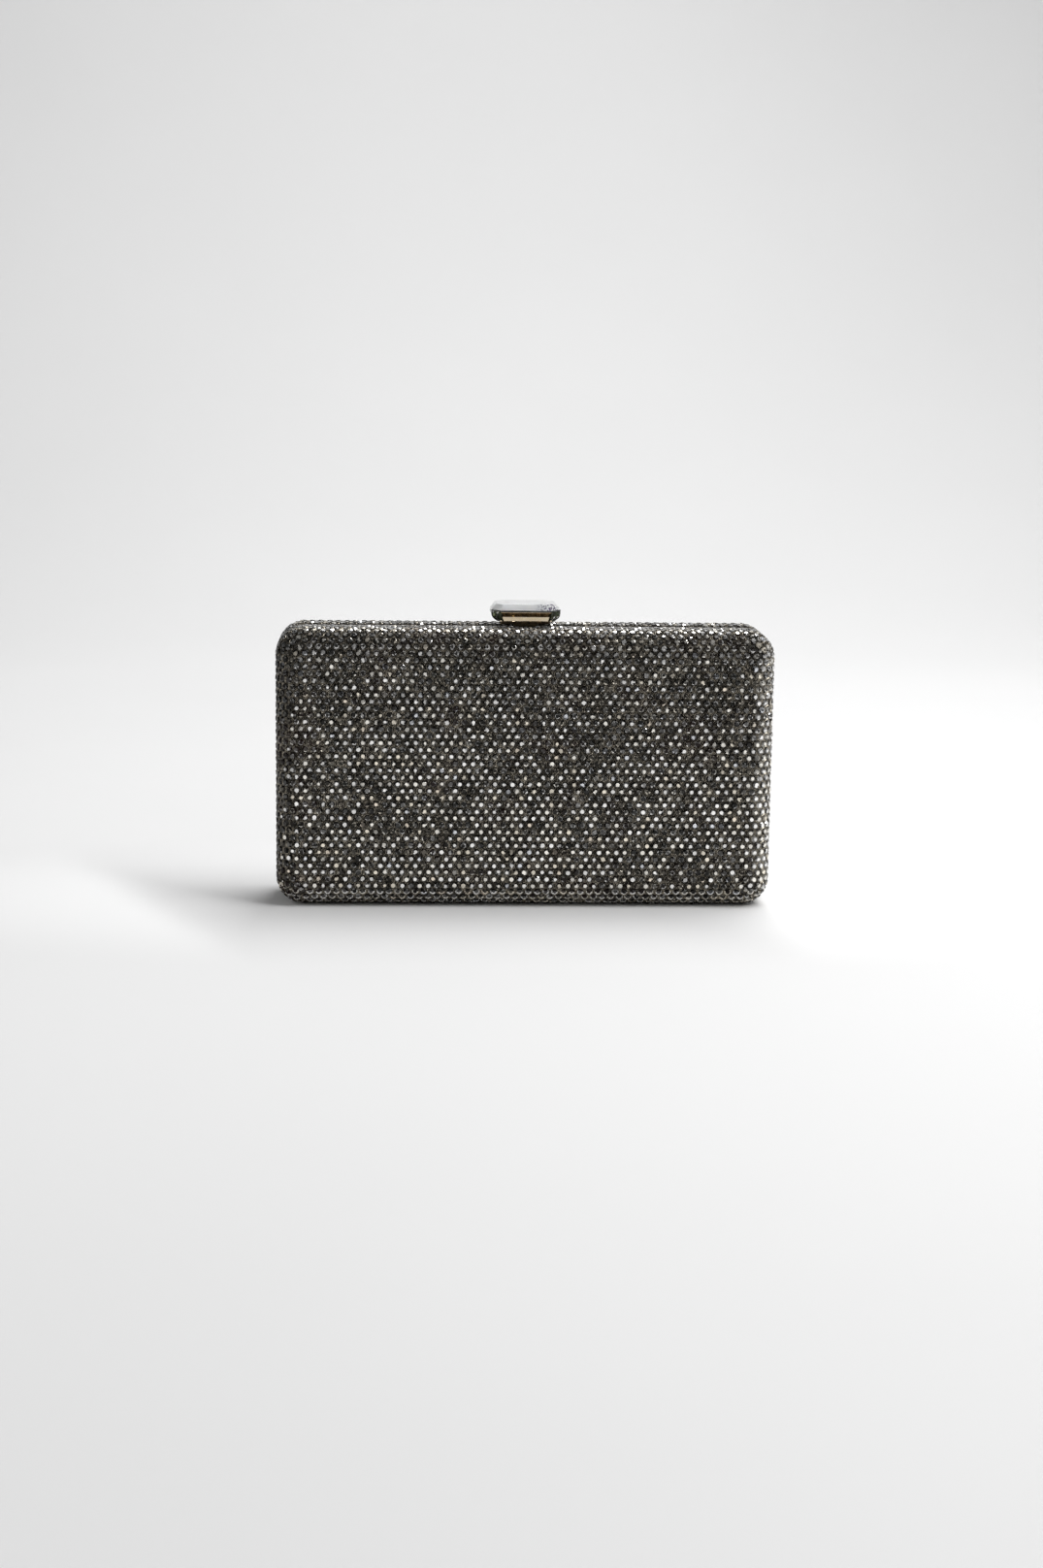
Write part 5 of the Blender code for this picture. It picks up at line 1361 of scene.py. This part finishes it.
# %% [markdown]
# ## The spring
#
# A coil of steel wire under the lever's tail presses it up. It is a circle carried along a helix. The solid
# one has few sides, so this one has the same course with more.

# %% Wind the spring
SPRING_LOW, SPRING_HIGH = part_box("clasp_spring")
WIRE_RADIUS = 0.00025
SPRING_TURNS = 4.6
STEPS_PER_TURN = 28
WIRE_SIDES = 10
FLAT_END = 0.16
STEADY_CLIMB = 0.28


def wound_wire(centre, radius, wire, low, high, turns):
    """Tube of radius wire round a helix. The climb fades at both ends, so that the end turns lie flat."""
    share = np.linspace(0, 1, int(turns * STEPS_PER_TURN) + 1)
    angle = 2 * np.pi * turns * share
    climb = np.clip((share - FLAT_END) / (1 - 2 * FLAT_END), 0, 1)
    climb = (1 - STEADY_CLIMB) * climb + STEADY_CLIMB * share
    height = low + wire + (high - low - 2 * wire) * climb
    path = np.stack((centre.x + radius * np.cos(angle), centre.y + radius * np.sin(angle), height), axis=-1)
    ahead = np.gradient(path, axis=0)
    ahead /= np.linalg.norm(ahead, axis=1, keepdims=True)
    outward = np.stack((np.cos(angle), np.sin(angle), np.zeros_like(angle)), axis=-1)
    outward = across(outward, ahead)
    round_wire = np.linspace(0, 2 * np.pi, WIRE_SIDES, endpoint=False)
    return path[:, None] + wire * spokes(outward, np.cross(ahead, outward), round_wire)


middle = (SPRING_LOW + SPRING_HIGH) / 2
coil_radius = (SPRING_HIGH.x - SPRING_LOW.x) / 2 - WIRE_RADIUS
rings = wound_wire(middle, coil_radius, WIRE_RADIUS, SPRING_LOW.z, SPRING_HIGH.z, SPRING_TURNS)
coil = ringed_piece("spring_coil", rings[None], METAL["spring_wire"], smooth=True)
hang(coil, "rear_half", "spring_steel", "clasp_spring")
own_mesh(coil)

# %% [markdown]
# ## The lining
#
# Inside, each tray is lined with black satin glued over card, and its edge is finished with a rolled cord
# of the same cloth. The card makes it stiff, so it follows the tray exactly and nothing needs simulating.
# The weave is two crossed waves, one over x and y and one over z and y, so that it runs on round the edges.
# Its height bumps the satin and also darkens its colour between the threads, as painted shade.

# %% Weave the satin
WEAVE, entry, leave = new_group(
    "weave",
    [("Threads", "Float", 2600.0), ("Strength", "Float", 0.3), ("Distance", "Float", 0.00008)],
    [("Height", "Float"), ("Normal", "Vector")],
)
place = add_node(WEAVE, "TexCoord")
parts = add_node(WEAVE, "SeparateXYZ")
join_nodes(WEAVE, (place, "Object", parts, "Vector"))
crossed = []
for axis in ("X", "Z"):
    slant = maths(WEAVE, "ADD")
    scale = maths(WEAVE, "MULTIPLY")
    wave = maths(WEAVE, "SINE")
    join_nodes(
        WEAVE,
        (parts, axis, slant, 0),
        (parts, "Y", slant, 1),
        (slant, "Value", scale, 0),
        (entry, "Threads", scale, 1),
        (scale, "Value", wave, 0),
    )
    crossed.append(wave)
product = maths(WEAVE, "MULTIPLY")
lifted = maths(WEAVE, "MULTIPLY_ADD", {1: 0.5, 2: 0.5})
bump = add_node(WEAVE, "Bump")
join_nodes(
    WEAVE,
    (crossed[0], "Value", product, 0),
    (crossed[1], "Value", product, 1),
    (product, "Value", lifted, 0),
    (lifted, "Value", leave, "Height"),
    (lifted, "Value", bump, "Height"),
    (entry, "Strength", bump, "Strength"),
    (entry, "Distance", bump, "Distance"),
    (bump, "Normal", leave, "Normal"),
)

LINING_SATIN, tree, shader = new_finish(
    "lining_satin", Roughness=0.5, Sheen_Weight=0.35, Sheen_Roughness=0.3
)
threads = use_group(tree, WEAVE)
casts = {"First": (0.020, 0.019, 0.021, 1), "Second": (0.034, 0.032, 0.035, 1), "Scale": 45.0}
tone = use_group(tree, TONE, casts)
# Painted shade: the weave's height darkens the satin's colour in the hollows between the threads.
painted_weave_shade = colour_mix(tree, "MULTIPLY")
join_nodes(
    tree,
    (tone, "Color", painted_weave_shade, MIX_FIRST),
    (threads, "Height", painted_weave_shade, MIX_SECOND),
    (painted_weave_shade, MIX_RESULT, shader, "Base Color"),
    (threads, "Normal", shader, "Normal"),
)
print("weave:", len(WEAVE.nodes), "nodes")

# %% [markdown]
# ### Lining the trays
#
# The satin is the same closed shell as the backing, only deeper in. Its cord could be a curve with a bevel,
# but a tube carried round the outline on the skin keeps its seat on the satin's edge exactly.

# %% Line the trays
LINING_OUTER = 0.0036
LINING_INNER = 0.0044
LINING_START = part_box("rear_lining")[0].y
WELT_RADIUS = 0.00038
WELT_SIDES = 8


def welt(name, side):
    """A closed tube along the lining's edge: a circle of WELT_RADIUS carried round the outline."""
    cores, directions = outline_stations()
    inset = (LINING_OUTER + LINING_INNER) / 2
    walked = np.full(len(cores), walk_to(LINING_START))
    centres, outwards = skin(cores, directions, walked, inset, side)
    angle = np.linspace(0, 2 * np.pi, WELT_SIDES, endpoint=False)
    towards_seam = np.array([[0.0, -side, 0.0]])
    points = centres[:, None] + WELT_RADIUS * spokes(outwards, towards_seam, angle)
    starts = np.arange(len(cores)) * WELT_SIDES
    quads = ring_faces(starts, np.roll(starts, -1), WELT_SIDES)
    quads = quads if side > 0 else quads[:, ::-1]
    return make_piece(name, points, [quads], LINING_SATIN, smooth=True)


for half, side in (("rear", 1), ("front", -1)):
    lining = tray_shell(f"{half}_satin", side, LINING_OUTER, LINING_INNER, LINING_START, LINING_SATIN)
    hang(lining, f"{half}_half", "lining_cloth", f"{half}_lining")
    hang(welt(f"{half}_welt", side), f"{half}_half", "lining_cloth", f"{half}_lining")

# %% [markdown]
# ## Carried-over parts
#
# The frames, trays, hinges, rivets, lever and bracket have the right shape already. They only need a
# finish, which goes into their own material slots. The small hinge and clasp parts all share the brushed one.

# %% Finish the solid parts
METAL_OF = {
    "rear_frame": "gunmetal_plate",
    "front_frame": "gunmetal_plate",
    "rear_shell": "rolled_sheet",
    "front_shell": "rolled_sheet",
    "clasp_lever": "aged_gold_plate",
    # A dark bronze painted darker still: painted shade under the clasp's stone.
    "clasp_setting": "bronze_with_painted_shade",
    "striker": "pale_gold_plate",
}
for name, part in NODES.items():
    part.data.materials.clear()
    part.data.materials.append(METAL[METAL_OF.get(name, "brushed_strip")])
print("finished solid parts:", len(NODES))
